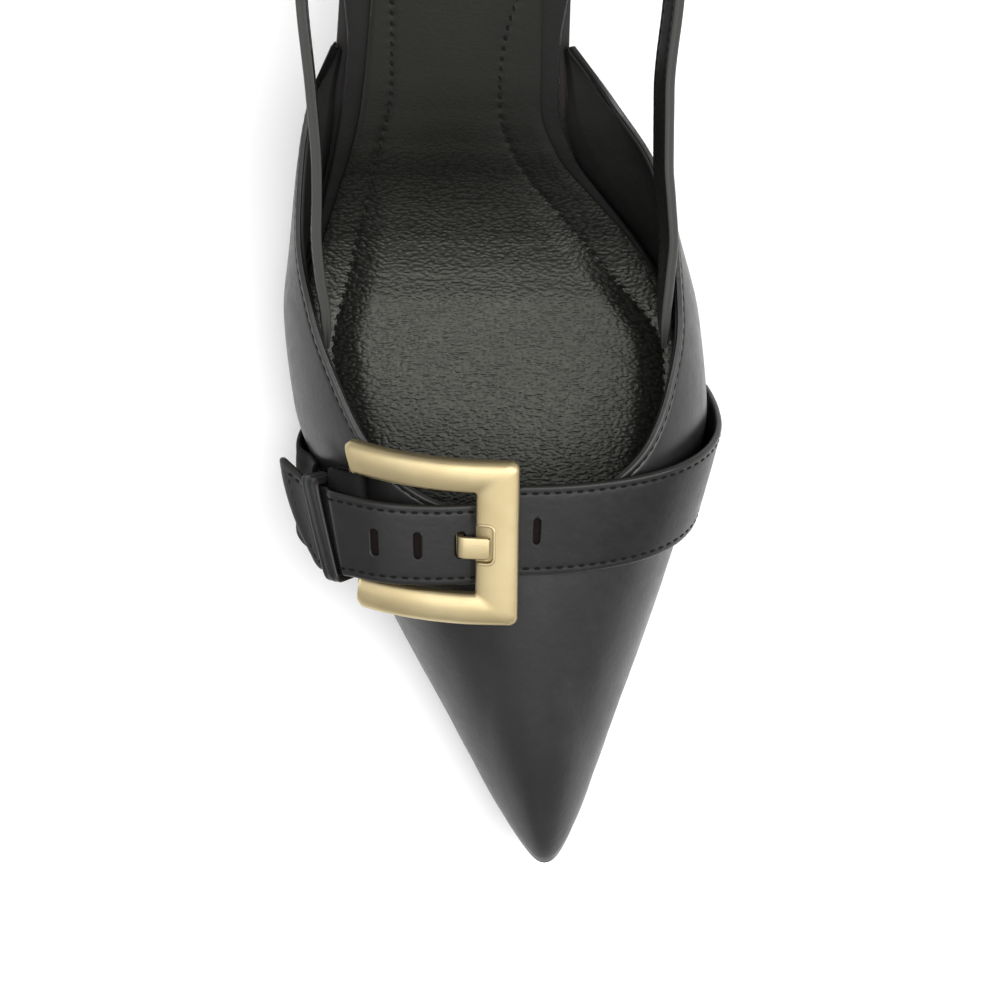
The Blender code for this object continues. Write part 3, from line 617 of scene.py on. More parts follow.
# Section: share of the length, share of the wall under the widest line, reach of the
# curve from toe value to side value, its fullness.
UPPER_SECTION = (
    (0.000, 0.14, 1.00, 1.40),
    (0.059, 0.18, 0.70, 1.50),
    (0.118, 0.22, 0.40, 1.65),
    (0.177, 0.27, 0.15, 1.80),
    (0.236, 0.31, 0.00, 1.95),
    (0.371, 0.37, 0.00, 2.00),
    (0.498, 0.60, 0.00, 2.00),
    (0.557, 0.72, 0.00, 2.00),
    (0.650, 0.80, 0.00, 2.00),
)


def from_toe(rows, outer, inner):
    """One curve for both sides, outer side negative, over the root of the share."""
    left = [(-sqrt(row[0]), row[outer]) for row in reversed(rows)]
    return smooth(left + [(sqrt(row[0]), row[inner]) for row in rows[1:]])


widest = from_toe([(row[0], -row[1], row[2]) for row in UPPER_WIDEST], 1, 2)
line_along = from_toe(TOPLINE, 1, 4)
line_across = from_toe([(row[0], -row[2], row[5]) for row in TOPLINE], 1, 2)
line_height = from_toe(TOPLINE, 3, 6)
under_share = from_toe(UPPER_SECTION, 1, 1)
toe_reach = from_toe(UPPER_SECTION, 2, 2)
fullness = from_toe(UPPER_SECTION, 3, 3)
WING_END = UPPER_WIDEST[-1][0]


def upper_column(place, under, over):
    """Points from the sole's edge up over the widest line to the topline."""
    share = place * place
    line = line_along(place)
    wide = np.array((axis(share) + widest(place) * BALL_WIDTH, along(share)))
    top = np.array((axis(line) + line_across(place) * BALL_WIDTH, along(line)))
    foot_share = SOLE_EDGE[0][0] + share * (1 - SOLE_EDGE[0][0] / WING_END)
    foot = np.array((edge_across(foot_share, 0)[0 if place < 0 else 1], along(foot_share)))
    if share < 1e-6:
        foot[0] = axis(foot_share)
    low = sole_top(foot_share) + FIT
    crest = line_height(place) * THROAT_HEIGHT
    middle = low + under_share(place) * (crest - low)
    points = []
    for i in range(under):
        rise = i / under
        out = 1 - (1 - rise)**1.7
        points.append((*(foot + (wide - foot) * out), low + (middle - low) * rise))
    reach = SIDE_CURVE + (TOE_CURVE - SIDE_CURVE) * toe_reach(place)
    turn = min(1, np.linalg.norm(top - wide) / reach)
    power = fullness(place)
    full = (1 - (1 - turn)**power)**(1 / power)
    for i in range(over + 1):
        part = (i / over)**1.6
        arc = (1 - (1 - turn * part)**power)**(1 / power) / full
        points.append((*(wide + (top - wide) * part), middle + (crest - middle) * arc))
    return np.array(points)


TOP_BAND = (0.0, 0.12, 0.25, 0.4, 0.6, 0.8, 1.0, 1.15, 1.3, 1.45, 1.6, 1.8, 2.1, 2.5, 3.0)
LOWER_ROWS = 34
COLUMNS = 150
places = []
for i in range(COLUMNS, -COLUMNS - 1, -1):
    turn = abs(i) / COLUMNS
    place = sqrt(WING_END * 1.04 * turn * (0.78 + 0.22 * turn) * turn / (turn + 0.04))
    places.append(place if i > 0 else -place)
columns = []
for place in places:
    fine = upper_column(place, 24, 110)[::-1]
    down = runs_of(fine)
    band = np.array(TOP_BAND) * min(0.001, down[-1] / 8)
    rest = band[-1] + (down[-1] - band[-1]) * (np.arange(1, LOWER_ROWS + 1) / LOWER_ROWS)
    columns.append(at_runs(fine, down, np.concatenate((band, rest))))
columns = np.array(columns)

outward = unit(np.cross(np.gradient(columns, axis=0), np.gradient(columns, axis=1)))
if outward[0, 20, 0] < 0:
    outward = -outward
band = np.array(TOP_BAND)
sunk = 0.00012 * np.exp(-((band - 1.3) / 0.24)**2)
bead = 0.00004 * np.exp(-((band - 0.55) / 0.4)**2)
curl = 0.00045 * np.maximum(0, 1 - band / 0.45)**2
shift = np.zeros(columns.shape[1])
shift[:len(band)] = bead - sunk - curl
outside = columns + outward * shift[None, :, None]
inner_shift = np.full(columns.shape[1], -UPPER_WALL)
inner_shift[:len(band)] += curl + 0.00014 * np.exp(-((band - 1.7) / 0.22)**2)
inside = columns + outward * inner_shift[None, :, None]
level_out = unit(outward[:, 24] * (1, 1, 0))
foot_shift = columns[:, -1] - level_out * UPPER_WALL - inside[:, -1]
inside[:, -8:] += foot_shift[:, None] * np.linspace(0, 1, 8)[None, :, None]
lip_inward = 0.001 * np.array([0.55, 0.78, 0.86, 0.94, 1.15])[:, None]
lip_rise = np.array([0.00012, 0.00006, -0.00016, 0.00002, 0.00003])[:, None]
lip = (columns[:, :1] - outward[:, :1] * lip_inward
       + unit(columns[:, :1] - columns[:, 1:2]) * lip_rise)
rings = [np.concatenate((outside[i, ::-1], lip[i], inside[i])) for i in range(len(places))]
height = columns.shape[1]
# Painted highlight: the folded topline bead takes the box leather's lighter edge colour.
rim = np.zeros(2 * height + 5)
rim[height - 7:height + 2] = 0.8
lined = np.zeros(2 * height + 5, bool)
lined[height + 2:] = True
box_leather = smooth_leather("box_leather", (0.0075, 0.0075, 0.0073), (0.014, 0.013, 0.012),
                             0.36, 0.0009, 0.00004, Specular_IOR_Level=0.42)
upper = skin("upper_leather", rings, rim=rim, second=lined)
finish_piece(upper, "black_leather", [box_leather, lining_leather], "upper")

top_seam = []
for step, sign, face in ((8, 1, outside), (10, -1, inside)):
    line = face[4:-4, step] + sign * outward[4:-4, step] * 0.00002
    top_seam.append((line, sign * outward[4:-4, step]))
STITCH_LENGTH = 0.0013
THREAD_HEIGHT = 0.00022
topline_seam = sew("topline_seam", top_seam, SEAM_PITCH, STITCH_LENGTH, 0.00032, THREAD_HEIGHT)
finish_piece(topline_seam, "black_leather", [black_thread])

# Heel: a slim plastic heel wrapped in the upper's leather, glued under the seat, its wrap
# closed by a fine seam down the middle of the flat breast.

SHANK_WAIST = 0.42
TIP_THICKNESS = 0.0030
TIP_LENGTH = 0.0105
TIP_WIDTH = 0.0098
BREAST_SETBACK = 0.211 * SHOE_LENGTH


def tip_edge(turn, grow):
    return TIP_WIDTH / 2 * grow * sin(turn), TIP_LENGTH * grow * (max(cos(turn), 0)**0.6 - 0.5)


def heel_ring(level, count, breast_count=8):
    breast = 1 - BREAST_SETBACK / SHOE_LENGTH
    slim = level**SHANK_WAIST
    points = []
    for i in range(-count, count + 1):
        turn = pi * i / (2 * count)
        share = breast + (0.996 - breast) * max(cos(turn), 0)**0.8
        outer, inner = edge_across(share, 0.0006)
        seat_across = outer if i < 0 else inner
        if i == 0:
            seat_across = axis(share)
        seat = np.array((seat_across, along(share), over_sole(share, -OUTSOLE_THICKNESS - FIT)))
        tip = np.array((*tip_edge(turn, 1), TIP_THICKNESS + FIT))
        blend = seat + (tip - seat) * slim
        blend[2] = seat[2] + (tip[2] - seat[2]) * level
        points.append(blend)
    first, last = points[0], points[-1]
    for k in range(1, breast_count):
        t = k / breast_count
        point = last + (first - last) * t
        point[1] += 0.0006 * sin(pi * t) + (0.00018 if k == breast_count // 2 else 0)
        points.append(point)
    return points


levels = [0.5 * (i / 60)**1.6 + 0.5 * i / 60 for i in range(61)]
heel_wrap = skin("heel_wrap", [heel_ring(level, 22) for level in levels])
finish_piece(heel_wrap, "heel_cover", [box_leather], "heel")

# Heel tip: a moulded top piece of hard rubber, pinned up into the heel. Its edge is buffed
# flush with the wrap and a little rounded where it meets the ground.


def hard_rubber(name):
    material, tree, shader = new_material(name, Roughness=0.62, Specular_IOR_Level=0.35)
    place = node(tree, "TexCoord", 3)
    grit = noise(tree, place, 2600.0, 3.0)
    scuff = noise(tree, place, 500.0, 5.0)
    link(tree, blend_colour(tree, ramp(tree, scuff, 0.45, 0.75), (0.014, 0.014, 0.014),
                            (0.035, 0.034, 0.032)), shader.inputs["Base Color"])
    link(tree, bump(tree, grit, 0.00006, 0.5), shader.inputs["Normal"])
    return material


tip_rings = []
for height_at, grow in ((TIP_THICKNESS, 0.985), (TIP_THICKNESS - 0.0002, 1.0), (0.0016, 1.0),
                        (0.0005, 0.995), (0.00015, 0.975), (0.0, 0.94)):
    ring = [(*tip_edge(pi * i / 48, grow), height_at) for i in range(-24, 25)]
    first, last = ring[0], ring[-1]
    ring += [(last[0] + (first[0] - last[0]) * k / 6, last[1], height_at) for k in range(1, 6)]
    tip_rings.append(ring)
heel_tip = skin("heel_top_piece", tip_rings)
finish_piece(heel_tip, "tip_rubber", [hard_rubber("tip_rubber")], "heel_tip")

# Sling strap: two plies of leather sewn along both edges, from inside one wing round the
# back of the heel to the other wing. Seen from above, the two raw plies lie side by side.

SLING_WIDTH = 0.0062
SLING_THICKNESS = 0.0019
SLING_HEIGHT = 0.106
SLING_LAP_HEIGHT = 0.0235
SLING_CHANNEL = 0.0011
# Width of the painted highlight along the edges of the straps.
PAINTED_HIGHLIGHT_EDGE = 0.0003

# Share of the length, share of its rise, places across for the outer and the inner side as
# shares of the ball width, then how far each side's upper edge leans out.
SLING_ROUTE = (
    (0.420, 0.000, 0.452, 0.335, 0.00, 0.00),
    (0.444, 0.046, 0.453, 0.337, 0.00, 0.05),
    (0.472, 0.096, 0.462, 0.342, 0.00, 0.15),
    (0.499, 0.140, 0.466, 0.347, 0.00, 0.22),
    (0.530, 0.189, 0.461, 0.341, 0.03, 0.26),
    (0.560, 0.239, 0.458, 0.335, 0.05, 0.28),
    (0.613, 0.331, 0.464, 0.336, 0.08, 0.30),
    (0.684, 0.447, 0.477, 0.358, 0.10, 0.32),
    (0.760, 0.568, 0.480, 0.374, 0.10, 0.28),
    (0.830, 0.680, 0.474, 0.376, 0.05, 0.15),
    (1.012, 1.000, 0.000, 0.000, 0.00, 0.00),
)
route_lift = column_curve(SLING_ROUTE, 1)
route_outer = column_curve(SLING_ROUTE[:-1], 2)
route_inner = column_curve(SLING_ROUTE[:-1], 3)
lean_outer = column_curve(SLING_ROUTE, 4)
lean_inner = column_curve(SLING_ROUTE, 5)
turns_in = SLING_ROUTE[-2][0]
route_end = SLING_ROUTE[-1][0]
SLING_STEPS = 170
middle_line, leans = [], []
for i in range(-SLING_STEPS, SLING_STEPS + 1):
    turn = 1 - abs(i) / SLING_STEPS
    share = SLING_ROUTE[0][0] + (route_end - SLING_ROUTE[0][0]) * sin(pi / 2 * turn)
    bend = max(share - turns_in, 0) / (route_end - turns_in)
    half = (route_outer if i < 0 else route_inner)(share) * sqrt(max(0, 1 - bend * bend))
    middle_line.append((axis(share) + (-half if i < 0 else half) * BALL_WIDTH, along(share),
                        SLING_LAP_HEIGHT + route_lift(share) * (SLING_HEIGHT - SLING_LAP_HEIGHT)))
    leans.append((lean_outer if i < 0 else lean_inner)(share))
middle_line = np.array(middle_line)
ahead = unit(np.gradient(middle_line, axis=0))
level = unit(np.cross(ahead, (0, 0, 1)))
upward = unit(np.cross(level, ahead) - np.array(leans)[:, None] * level)
flatwise = np.cross(ahead, upward)


def ply_section(width, thickness, channel):
    """Section of a two-ply strap: places over its width and its thickness, in order."""
    half, wall = width / 2, thickness / 2
    face = []
    for t in np.linspace(-1, 1, 25):
        place = t * (half - 0.00035)
        sunk = 0.00005 * np.exp(-((abs(place) - (half - channel)) / 0.00040)**2)
        face.append((place, wall - sunk))
    nose = [(half - 0.00012, wall - 0.00012), (half, wall * 0.62), (half - 0.00006, wall * 0.3),
            (half - 0.0002, 0.0)]
    edge = nose + [(x, -y) for x, y in reversed(nose[:-1])]
    back = [(x, -y) for x, y in reversed(face)]
    return face + edge + back + [(-x, y) for x, y in reversed(edge)]


section = ply_section(SLING_WIDTH, SLING_THICKNESS, SLING_CHANNEL)
rings = []
for i, point in enumerate(middle_line):
    close = min(i, len(middle_line) - 1 - i)
    small = sqrt(min(1, 0.25 + close / 4))
    rings.append([point + upward[i] * a * (0.75 + 0.25 * small) + flatwise[i] * b * small
                  for a, b in section])
# Painted highlight: both edges of the strap take the strap leather's much lighter edge colour.
rim = [0.85 if abs(a) > SLING_WIDTH / 2 - PAINTED_HIGHLIGHT_EDGE else 0 for a, b in section]
sling = skin("sling_strap_leather", rings, rim=rim)
strap_leather = smooth_leather("strap_leather", (0.0050, 0.0050, 0.0048), (0.045, 0.045, 0.042),
                               0.36, 0.0009, 0.00004, Specular_IOR_Level=0.30)
finish_piece(sling, "black_leather", [strap_leather], "sling_strap")
strap_seams = []
for face in (1, -1):
    for place in (1, -1):
        line = (middle_line + upward * place * (SLING_WIDTH / 2 - SLING_CHANNEL)
                + flatwise * face * (SLING_THICKNESS / 2 - 0.00008))
        strap_seams.append((line[6:-6], flatwise[6:-6] * face))
sling_seam = sew("sling_seam", strap_seams, SEAM_PITCH, STITCH_LENGTH, 0.0003, THREAD_HEIGHT)
finish_piece(sling_seam, "black_leather", [black_thread])

# Belt: a sewn strap from the inner side over the vamp and through the buckle, with a row
# of stamped slots and a slanted tail that runs on through the keeper.

BELT_WIDTH = 0.0168
BELT_THICKNESS = 0.0013
BELT_CHANNEL = 0.0014
BELT_CROWN = THROAT_HEIGHT
BELT_STATION = 0.2743 * SHOE_LENGTH
BELT_LEAN = 0.52
BELT_LATERAL = 0.4812 * BALL_WIDTH
BELT_MEDIAL = 0.4612 * BALL_WIDTH
ARCH_POWER_OUTER = 2.1
ARCH_POWER_INNER = 2.3
ARCH_TUCK = 0.032
ARCH_FOOT = 0.40
BELT_SLOPE = 0.20
BELT_FLARE = 0.060
BELT_STEP = 0.0026
BELT_TURN = 0.050
FRAME_SKEW = 0.09
KEEPER_SKEW = 0.32
CROWN_ACROSS = 0.43 * TOE_SHIFT
ARCH_DROP = BELT_CROWN - 0.3617 * THROAT_HEIGHT
SLOT_LENGTH = 0.0050
SLOT_WIDTH = 0.0014
SLOT_PITCH = 0.0070
PRONG_SLOT = 0.0038
TAIL_TRIM = 0.0009
TAIL_LENGTH = 0.0425
TAIL_SLANT = 0.0044
TAIL_SWING = 0.0026
RIGHT_BAR_INSIDE = 0.0070
HIDDEN_BAR = 0.0014
HIDDEN_RUN = 0.0287
KEEPER_RUN = 0.0343
KEEPER_WIDTH = 0.0032
KEEPER_NEAR = -KEEPER_RUN + 0.6 * KEEPER_WIDTH
PRONG_SLOT_RUN = 0.0100
FRAME_END = 0.0006
TAIL_HALF = BELT_WIDTH / 2 - TAIL_TRIM
PRONG_THICKNESS = 0.0012
KEEPER_THICKNESS = 0.0010
FOLD_THICKNESS = 0.0009
FOLD_LOW = KEEPER_THICKNESS + FIT + FOLD_THICKNESS / 2
FOLD_HIGH = FOLD_LOW + FOLD_THICKNESS + FIT
BAR_LOW = PRONG_THICKNESS + 2 * FIT
BAR_HIGH = BAR_LOW + HIDDEN_BAR
FOLD_OVER_BAR = BAR_HIGH + FIT + FOLD_THICKNESS / 2
FOLD_UNDER_BAR = BAR_LOW - FIT - FOLD_THICKNESS / 2
TAIL_OVER_BAR = FOLD_OVER_BAR + (FOLD_THICKNESS + BELT_THICKNESS) / 2 + FIT
TAIL_IN_KEEPER = FOLD_HIGH + (FOLD_THICKNESS + BELT_THICKNESS) / 2 + FIT
BELT_LOW = BELT_THICKNESS / 2


def arch(turn, power):
    """Arch over the vamp: place across and drop, both 1 at the widest line."""
    angle = pi / 2 * np.minimum(turn, 1)
    foot = np.maximum(turn - 1, 0)
    wide = np.sin(angle)**(2 / power) - ARCH_TUCK * foot**2 / ARCH_FOOT**2
    return wide, 1 - np.maximum(np.cos(angle), 0)**(2 / power) + foot


def arch_lengths(width, power):
    turns = np.linspace(0, 1 + ARCH_FOOT, 141)
    wide, drop = arch(turns, power)
    fall = drop * ARCH_DROP * sqrt(1 + BELT_LEAN**2)
    return turns, runs_of(np.stack([wide * width, fall], axis=1))


ARCH_OUTER = arch_lengths(BELT_LATERAL, ARCH_POWER_OUTER)
ARCH_INNER = arch_lengths(BELT_MEDIAL, ARCH_POWER_INNER)


def turn_aside(reach):
    """How far the belt swings towards the toe as it passes through the buckle."""
    past = np.maximum(reach - RIGHT_BAR_INSIDE, 0) + 2 * np.maximum(reach - HIDDEN_RUN, 0)
    return BELT_STEP * soft_step(reach / RIGHT_BAR_INSIDE) + BELT_TURN * past


skew = smooth(((RIGHT_BAR_INSIDE, 0), (HIDDEN_RUN, FRAME_SKEW), (KEEPER_RUN, KEEPER_SKEW),
               (TAIL_LENGTH, KEEPER_SKEW)))


def arch_surface(run, across, turned):
    """Points of the arch: run from the crown to the inner side, across to the heel."""
    run, across = np.broadcast_arrays(np.asarray(run, float), np.asarray(across, float))
    inner = run > 0
    aside = turn_aside(-run)
    run = np.where(inner, run, run - skew(-run) * (across if turned else across + aside))
    turn_in = np.interp(np.abs(run), ARCH_INNER[1], ARCH_INNER[0])
    turn_out = np.interp(np.abs(run), ARCH_OUTER[1], ARCH_OUTER[0])
    wide_in, drop_in = arch(turn_in, ARCH_POWER_INNER)
    wide_out, drop_out = arch(turn_out, ARCH_POWER_OUTER)
    if turned:
        across = across - aside
    flare = 1 + BELT_FLARE * across / (BELT_WIDTH / 2)
    x = np.where(inner, wide_in * BELT_MEDIAL * flare, -wide_out * BELT_LATERAL)
    fall = np.where(inner, drop_in, drop_out) * ARCH_DROP
    y = HEEL_SET_IN - SHOE_LENGTH + BELT_STATION + across + BELT_LEAN * fall
    return np.stack([CROWN_ACROSS + x, y, BELT_CROWN + BELT_SLOPE * across - fall], axis=-1)


def on_arch(run, across, lift, turned=True):
    """Points at a height over the arch."""
    one = arch_surface(run + FIT, across, turned) - arch_surface(run - FIT, across, turned)
    two = arch_surface(run, across + FIT, turned) - arch_surface(run, across - FIT, turned)
    up = unit(np.cross(one, two))
    return arch_surface(run, across, turned) + np.asarray(lift)[..., None] * up


def belt_section(half, thickness, channel, depth, crown):
    """Section of a sewn strap with rounded edges: places across and lifts, in order."""
    bend = 0.42 * thickness
    xs = np.linspace(-1, 1, 27) * (half - bend)
    near = half - channel
    xs = np.sort(np.concatenate((xs, [side * (near + away) for side in (-1, 1)
                                      for away in (-0.0004, -0.0002, 0, 0.0002, 0.0004)])))
    sunk = depth * np.exp(-((np.abs(xs) - near) / 0.00040)**2)
    tops = thickness / 2 + crown * (1 - (xs / half)**2) - sunk
    angles = np.linspace(0, pi / 2, 5)[1:]
    edge = [(half - bend + bend * sin(a), thickness / 2 - bend + bend * cos(a)) for a in angles]
    edge += [(x, -y) for x, y in reversed(edge)]
    under = [(x, -thickness / 2) for x in np.linspace(1, -1, 9) * (half - bend)]
    ring = [*zip(xs, tops)] + edge + under + [(-x, y) for x, y in reversed(edge)]
    return np.array(ring)


belt_lift = smooth((
    (-TAIL_LENGTH, TAIL_IN_KEEPER + 0.0012),
    (-KEEPER_RUN - KEEPER_WIDTH, TAIL_IN_KEEPER),
    (KEEPER_NEAR, TAIL_IN_KEEPER),
    (-HIDDEN_RUN - 1.7 * HIDDEN_BAR, TAIL_OVER_BAR),
    (-HIDDEN_RUN + 2 * HIDDEN_BAR, TAIL_OVER_BAR),
    (-PRONG_SLOT_RUN - PRONG_SLOT, PRONG_THICKNESS + 3 * FIT + BELT_LOW),
    (-PRONG_SLOT_RUN + PRONG_SLOT / 2, BELT_LOW + FIT),
    (-RIGHT_BAR_INSIDE, BELT_LOW),
    (BELT_WIDTH, BELT_LOW),
    (1.7 * BELT_WIDTH, BELT_LOW + FIT),
    (2.7 * BELT_WIDTH, BELT_LOW + FIT),
    (ARCH_INNER[1][-1], BELT_LOW),
))
keeper_out = -KEEPER_RUN - KEEPER_WIDTH / 2 - FIT


def belt_half(run):
    return TAIL_HALF + TAIL_TRIM * soft_step((run + 2 * FRAME_END) / (4 * FRAME_END))


def on_belt(run, across, lift):
    """Points on the belt, whose tail is cut aslant and swings out behind the keeper."""
    share = across / belt_half(run)
    cut = TAIL_SLANT * np.clip((KEEPER_NEAR - run) / (TAIL_LENGTH + KEEPER_NEAR), 0, 1)
    swing = TAIL_SWING * np.clip((keeper_out - run) / (TAIL_LENGTH + keeper_out), 0, 1)
    place = run + cut * ((1 - share) / 2)**1.7
    return on_arch(place, across + swing * (1 + share) / 2, belt_lift(place) + lift)


TAIL_ROUND = 0.0012
belt_runs = np.concatenate((
    -TAIL_LENGTH + TAIL_ROUND * np.linspace(0, 1, 7)[:-1]**2,
    np.linspace(-TAIL_LENGTH + TAIL_ROUND, ARCH_INNER[1][-1] - FIT, 230)))
rings = []
for run in belt_runs:
    tight = sqrt(max(0, 1 - (1 - min((run + TAIL_LENGTH) / TAIL_ROUND, 1))**2))
    ring = belt_section(belt_half(run) - TAIL_ROUND * (1 - tight),
                        BELT_THICKNESS * (0.35 + 0.65 * tight), BELT_CHANNEL, 0.00005, 0.00012)
    rings.append(on_belt(run, ring[:, 0], ring[:, 1]))
section = belt_section(TAIL_HALF, BELT_THICKNESS, BELT_CHANNEL, 0.0001, 0.0001)
# Painted highlight: the belt's rounded edges take the belt leather's lighter edge colour.
rim = np.where(np.abs(section[:, 0]) > TAIL_HALF - 0.0004, 0.8, 0.0)
belt = skin("belt_leather", rings, rim=rim)


def slot_cutter(middle, length, width, lift, deep):
    """A plug in the shape of one stamped slot, from a depth under the belt's middle."""
    angles = 2 * pi * np.arange(20) / 20
    straight = (length - width) / 2 * np.sign(np.round(np.sin(angles), 9))
    runs, across = middle + width / 2 * np.cos(angles), straight + width / 2 * np.sin(angles)
    plug = skin("slot_plug", [on_arch(runs, across, lift + height) for height in (-deep, 0.0022)])
    plug.data.polygons.foreach_set("material_index", [1] * len(plug.data.polygons))
    return plug


def cut_away(made, plugs, materials):
    """Take the plugs out of a piece for good; what is cut shows the second material."""
    for material in materials:
        made.data.materials.append(material)
    for plug in plugs:
        for material in materials:
            plug.data.materials.append(material)
        cut = made.modifiers.new("cut", "BOOLEAN")
        cut.operation = "DIFFERENCE"
        cut.solver = "EXACT"
        cut.object = plug
    bpy.context.view_layer.update()
    graph = bpy.context.evaluated_depsgraph_get()
    cut_mesh = bpy.data.meshes.new_from_object(made.evaluated_get(graph))
    made.modifiers.clear()
    made.data = cut_mesh
    for plug in plugs:
        bpy.data.objects.remove(plug, do_unlink=True)


plugs = []
for k in range(-2, 3):
    middle = -PRONG_SLOT_RUN - k * SLOT_PITCH
    wide, deep = (0.0018, 0.0022) if k == 0 else (SLOT_WIDTH, -0.00012)
    middle += FIT if k == 0 else 0
    plugs.append(slot_cutter(middle, SLOT_LENGTH, wide, float(belt_lift(middle)), deep))
belt_leather = smooth_leather("belt_leather", (0.0052, 0.0052, 0.0051), (0.009, 0.008, 0.007),
                              0.36, 0.0010, 0.00004, Specular_IOR_Level=0.29)
raw_leather = smooth_leather("raw_leather", (0.006, 0.004, 0.0035), (0.006, 0.004, 0.003),
                             0.85, 0.0004, 0.00010, Specular_IOR_Level=0.1)
cut_away(belt, plugs, [belt_leather, raw_leather])
finish_piece(belt, "black_leather", [], "belt")

belt_seams = []
runs = np.linspace(-TAIL_LENGTH + 0.0022, ARCH_INNER[1][-1] - 0.003, 900)
for run, across, proud in (
        (runs, BELT_CHANNEL - belt_half(runs), 0.00002),
        (runs, belt_half(runs) - BELT_CHANNEL, 0.00002),
        (-TAIL_LENGTH + 0.0020, np.linspace(-1, 1, 60) * (TAIL_HALF - 0.0016), 0)):
    line, over = (on_belt(run, across, BELT_LOW + proud + lift) for lift in (0, 0.001))
    belt_seams.append((line, over - line))
belt_seam = sew("belt_seam", belt_seams, SEAM_PITCH, 0.00135, 0.00052, THREAD_HEIGHT)
finish_piece(belt_seam, "black_leather", [black_thread])

# Fixed strap: a thinner strap from the outer side, folded round the buckle's hidden bar
# and brought back under the tail, split where the prong hooks on.

FOLD_HALF = TAIL_HALF - TAIL_TRIM
FOLD_FLARE = 0.0040
PRONG_WIDTH = 0.0040
FOLD_MARGIN = 0.0006
FOLD_SPREAD = 0.0016
FOLD_TUCK = 0.0017
nose = HIDDEN_BAR / 2 + 2 * FIT + FOLD_THICKNESS / 2
fold_behind = -HIDDEN_RUN - 2.1 * HIDDEN_BAR
FOLD_PATH = (
    (-ARCH_OUTER[1][-1] + FIT, FOLD_THICKNESS / 2 + FIT),
    (-KEEPER_RUN - 2.6 * KEEPER_WIDTH, FOLD_THICKNESS / 2 + FIT),
    (-KEEPER_RUN - KEEPER_WIDTH, FOLD_LOW),
    (KEEPER_NEAR, FOLD_LOW),
    (fold_behind, FOLD_LOW - FIT),
    (-HIDDEN_RUN - HIDDEN_BAR / 2, FOLD_UNDER_BAR),
    (-HIDDEN_RUN + HIDDEN_BAR / 2, FOLD_UNDER_BAR),
    (-HIDDEN_RUN + nose * 0.85, (FOLD_UNDER_BAR + 2 * BAR_LOW) / 3),
    (-HIDDEN_RUN + nose, (BAR_LOW + BAR_HIGH) / 2),
    (-HIDDEN_RUN + nose * 0.85, (FOLD_OVER_BAR + 2 * BAR_HIGH) / 3),
    (-HIDDEN_RUN + HIDDEN_BAR / 2, FOLD_OVER_BAR),
    (-HIDDEN_RUN - 1.3 * HIDDEN_BAR, FOLD_OVER_BAR),
    (KEEPER_NEAR, FOLD_HIGH),
    (-KEEPER_RUN - KEEPER_WIDTH, FOLD_HIGH),
)


def path_rings(path, section, flare):
    """Rings of a strap that follows a path over the arch. Its side towards the heel is cut
    wider at the bar, spreads behind the keeper and is drawn down there."""
    across, thick = section.T
    heelward = soft_step(across / FOLD_HALF)
    rings = []
    for (run, lift), (forward, rise) in zip(path, unit(np.gradient(path, axis=0))):
        wider = flare * np.clip((run - KEEPER_NEAR) / (fold_behind - KEEPER_NEAR), 0, 1)
        wider += FOLD_MARGIN
        # The spread and tuck behind the keeper lay the darkened strap over the gap beside the
        # upper, as painted shade.
        wider += FOLD_SPREAD * soft_step((-KEEPER_RUN - 0.7 * KEEPER_WIDTH - run) / 0.003)
        tucked = FOLD_TUCK * (soft_step((-KEEPER_RUN - KEEPER_WIDTH - run) / 0.003)
                              * soft_step((run + KEEPER_RUN + 5 * KEEPER_WIDTH) / 0.006))
        rings.append(on_arch(run + rise * thick, across + wider * heelward,
                             lift - forward * thick - tucked * heelward))
    return rings


def rounded_path(path, step):
    """The path with close, evenly spaced points and softened corners."""
    path = np.array(path, float)
    run = runs_of(path)
    fine = at_runs(path, run, np.linspace(0, run[-1], int(run[-1] / step) + 1))
    for _ in range(4):
        fine[1:-1] = (fine[:-2] + 2 * fine[1:-1] + fine[2:]) / 4
    return fine


fold_section = belt_section(FOLD_HALF, FOLD_THICKNESS, 0.0013, 0.00008, 0.00004)
fold_section[:, 1] *= -1
fold_section = fold_section[::-1]
fold = skin("fixed_strap_leather",
            path_rings(rounded_path(FOLD_PATH, 0.00045), fold_section, FOLD_FLARE))


def prong_gap(name, behind, low, high, count):
    """A plug for the split at the prong, from behind the hidden bar to past the fold."""
    half = PRONG_WIDTH / 2 + 2 * FIT
    across, lifts = np.array([-half, half, half, -half]), np.array([low, low, high, high])
    runs = np.linspace(behind, -HIDDEN_RUN + nose + 0.0012, count)
    return skin(name, [on_arch(run, across, lifts) for run in runs])


split = [prong_gap("prong_gap", fold_behind, -0.0002, BAR_HIGH - 0.0001, 8),
         prong_gap("prong_gap_over", -HIDDEN_RUN - 0.6 * HIDDEN_BAR, BAR_LOW, TAIL_OVER_BAR, 6)]
# Painted shade: the fixed strap is darker and duller than the belt, standing for the shade it lies
# in by the frame, keeper and upper.
painted_shade_leather = smooth_leather("painted_shade_leather", (0.0030, 0.0030, 0.0029), (0.003, 0.003, 0.003),
                              0.65, 0.0008, 0.00006, Specular_IOR_Level=0.10)
cut_away(fold, split, [painted_shade_leather])
finish_piece(fold, "black_leather", [], "belt_fold")

# Keeper: a narrow strip of the belt's leather, turned into a flat loop and sewn shut under
# the fixed strap. It holds the tail down.

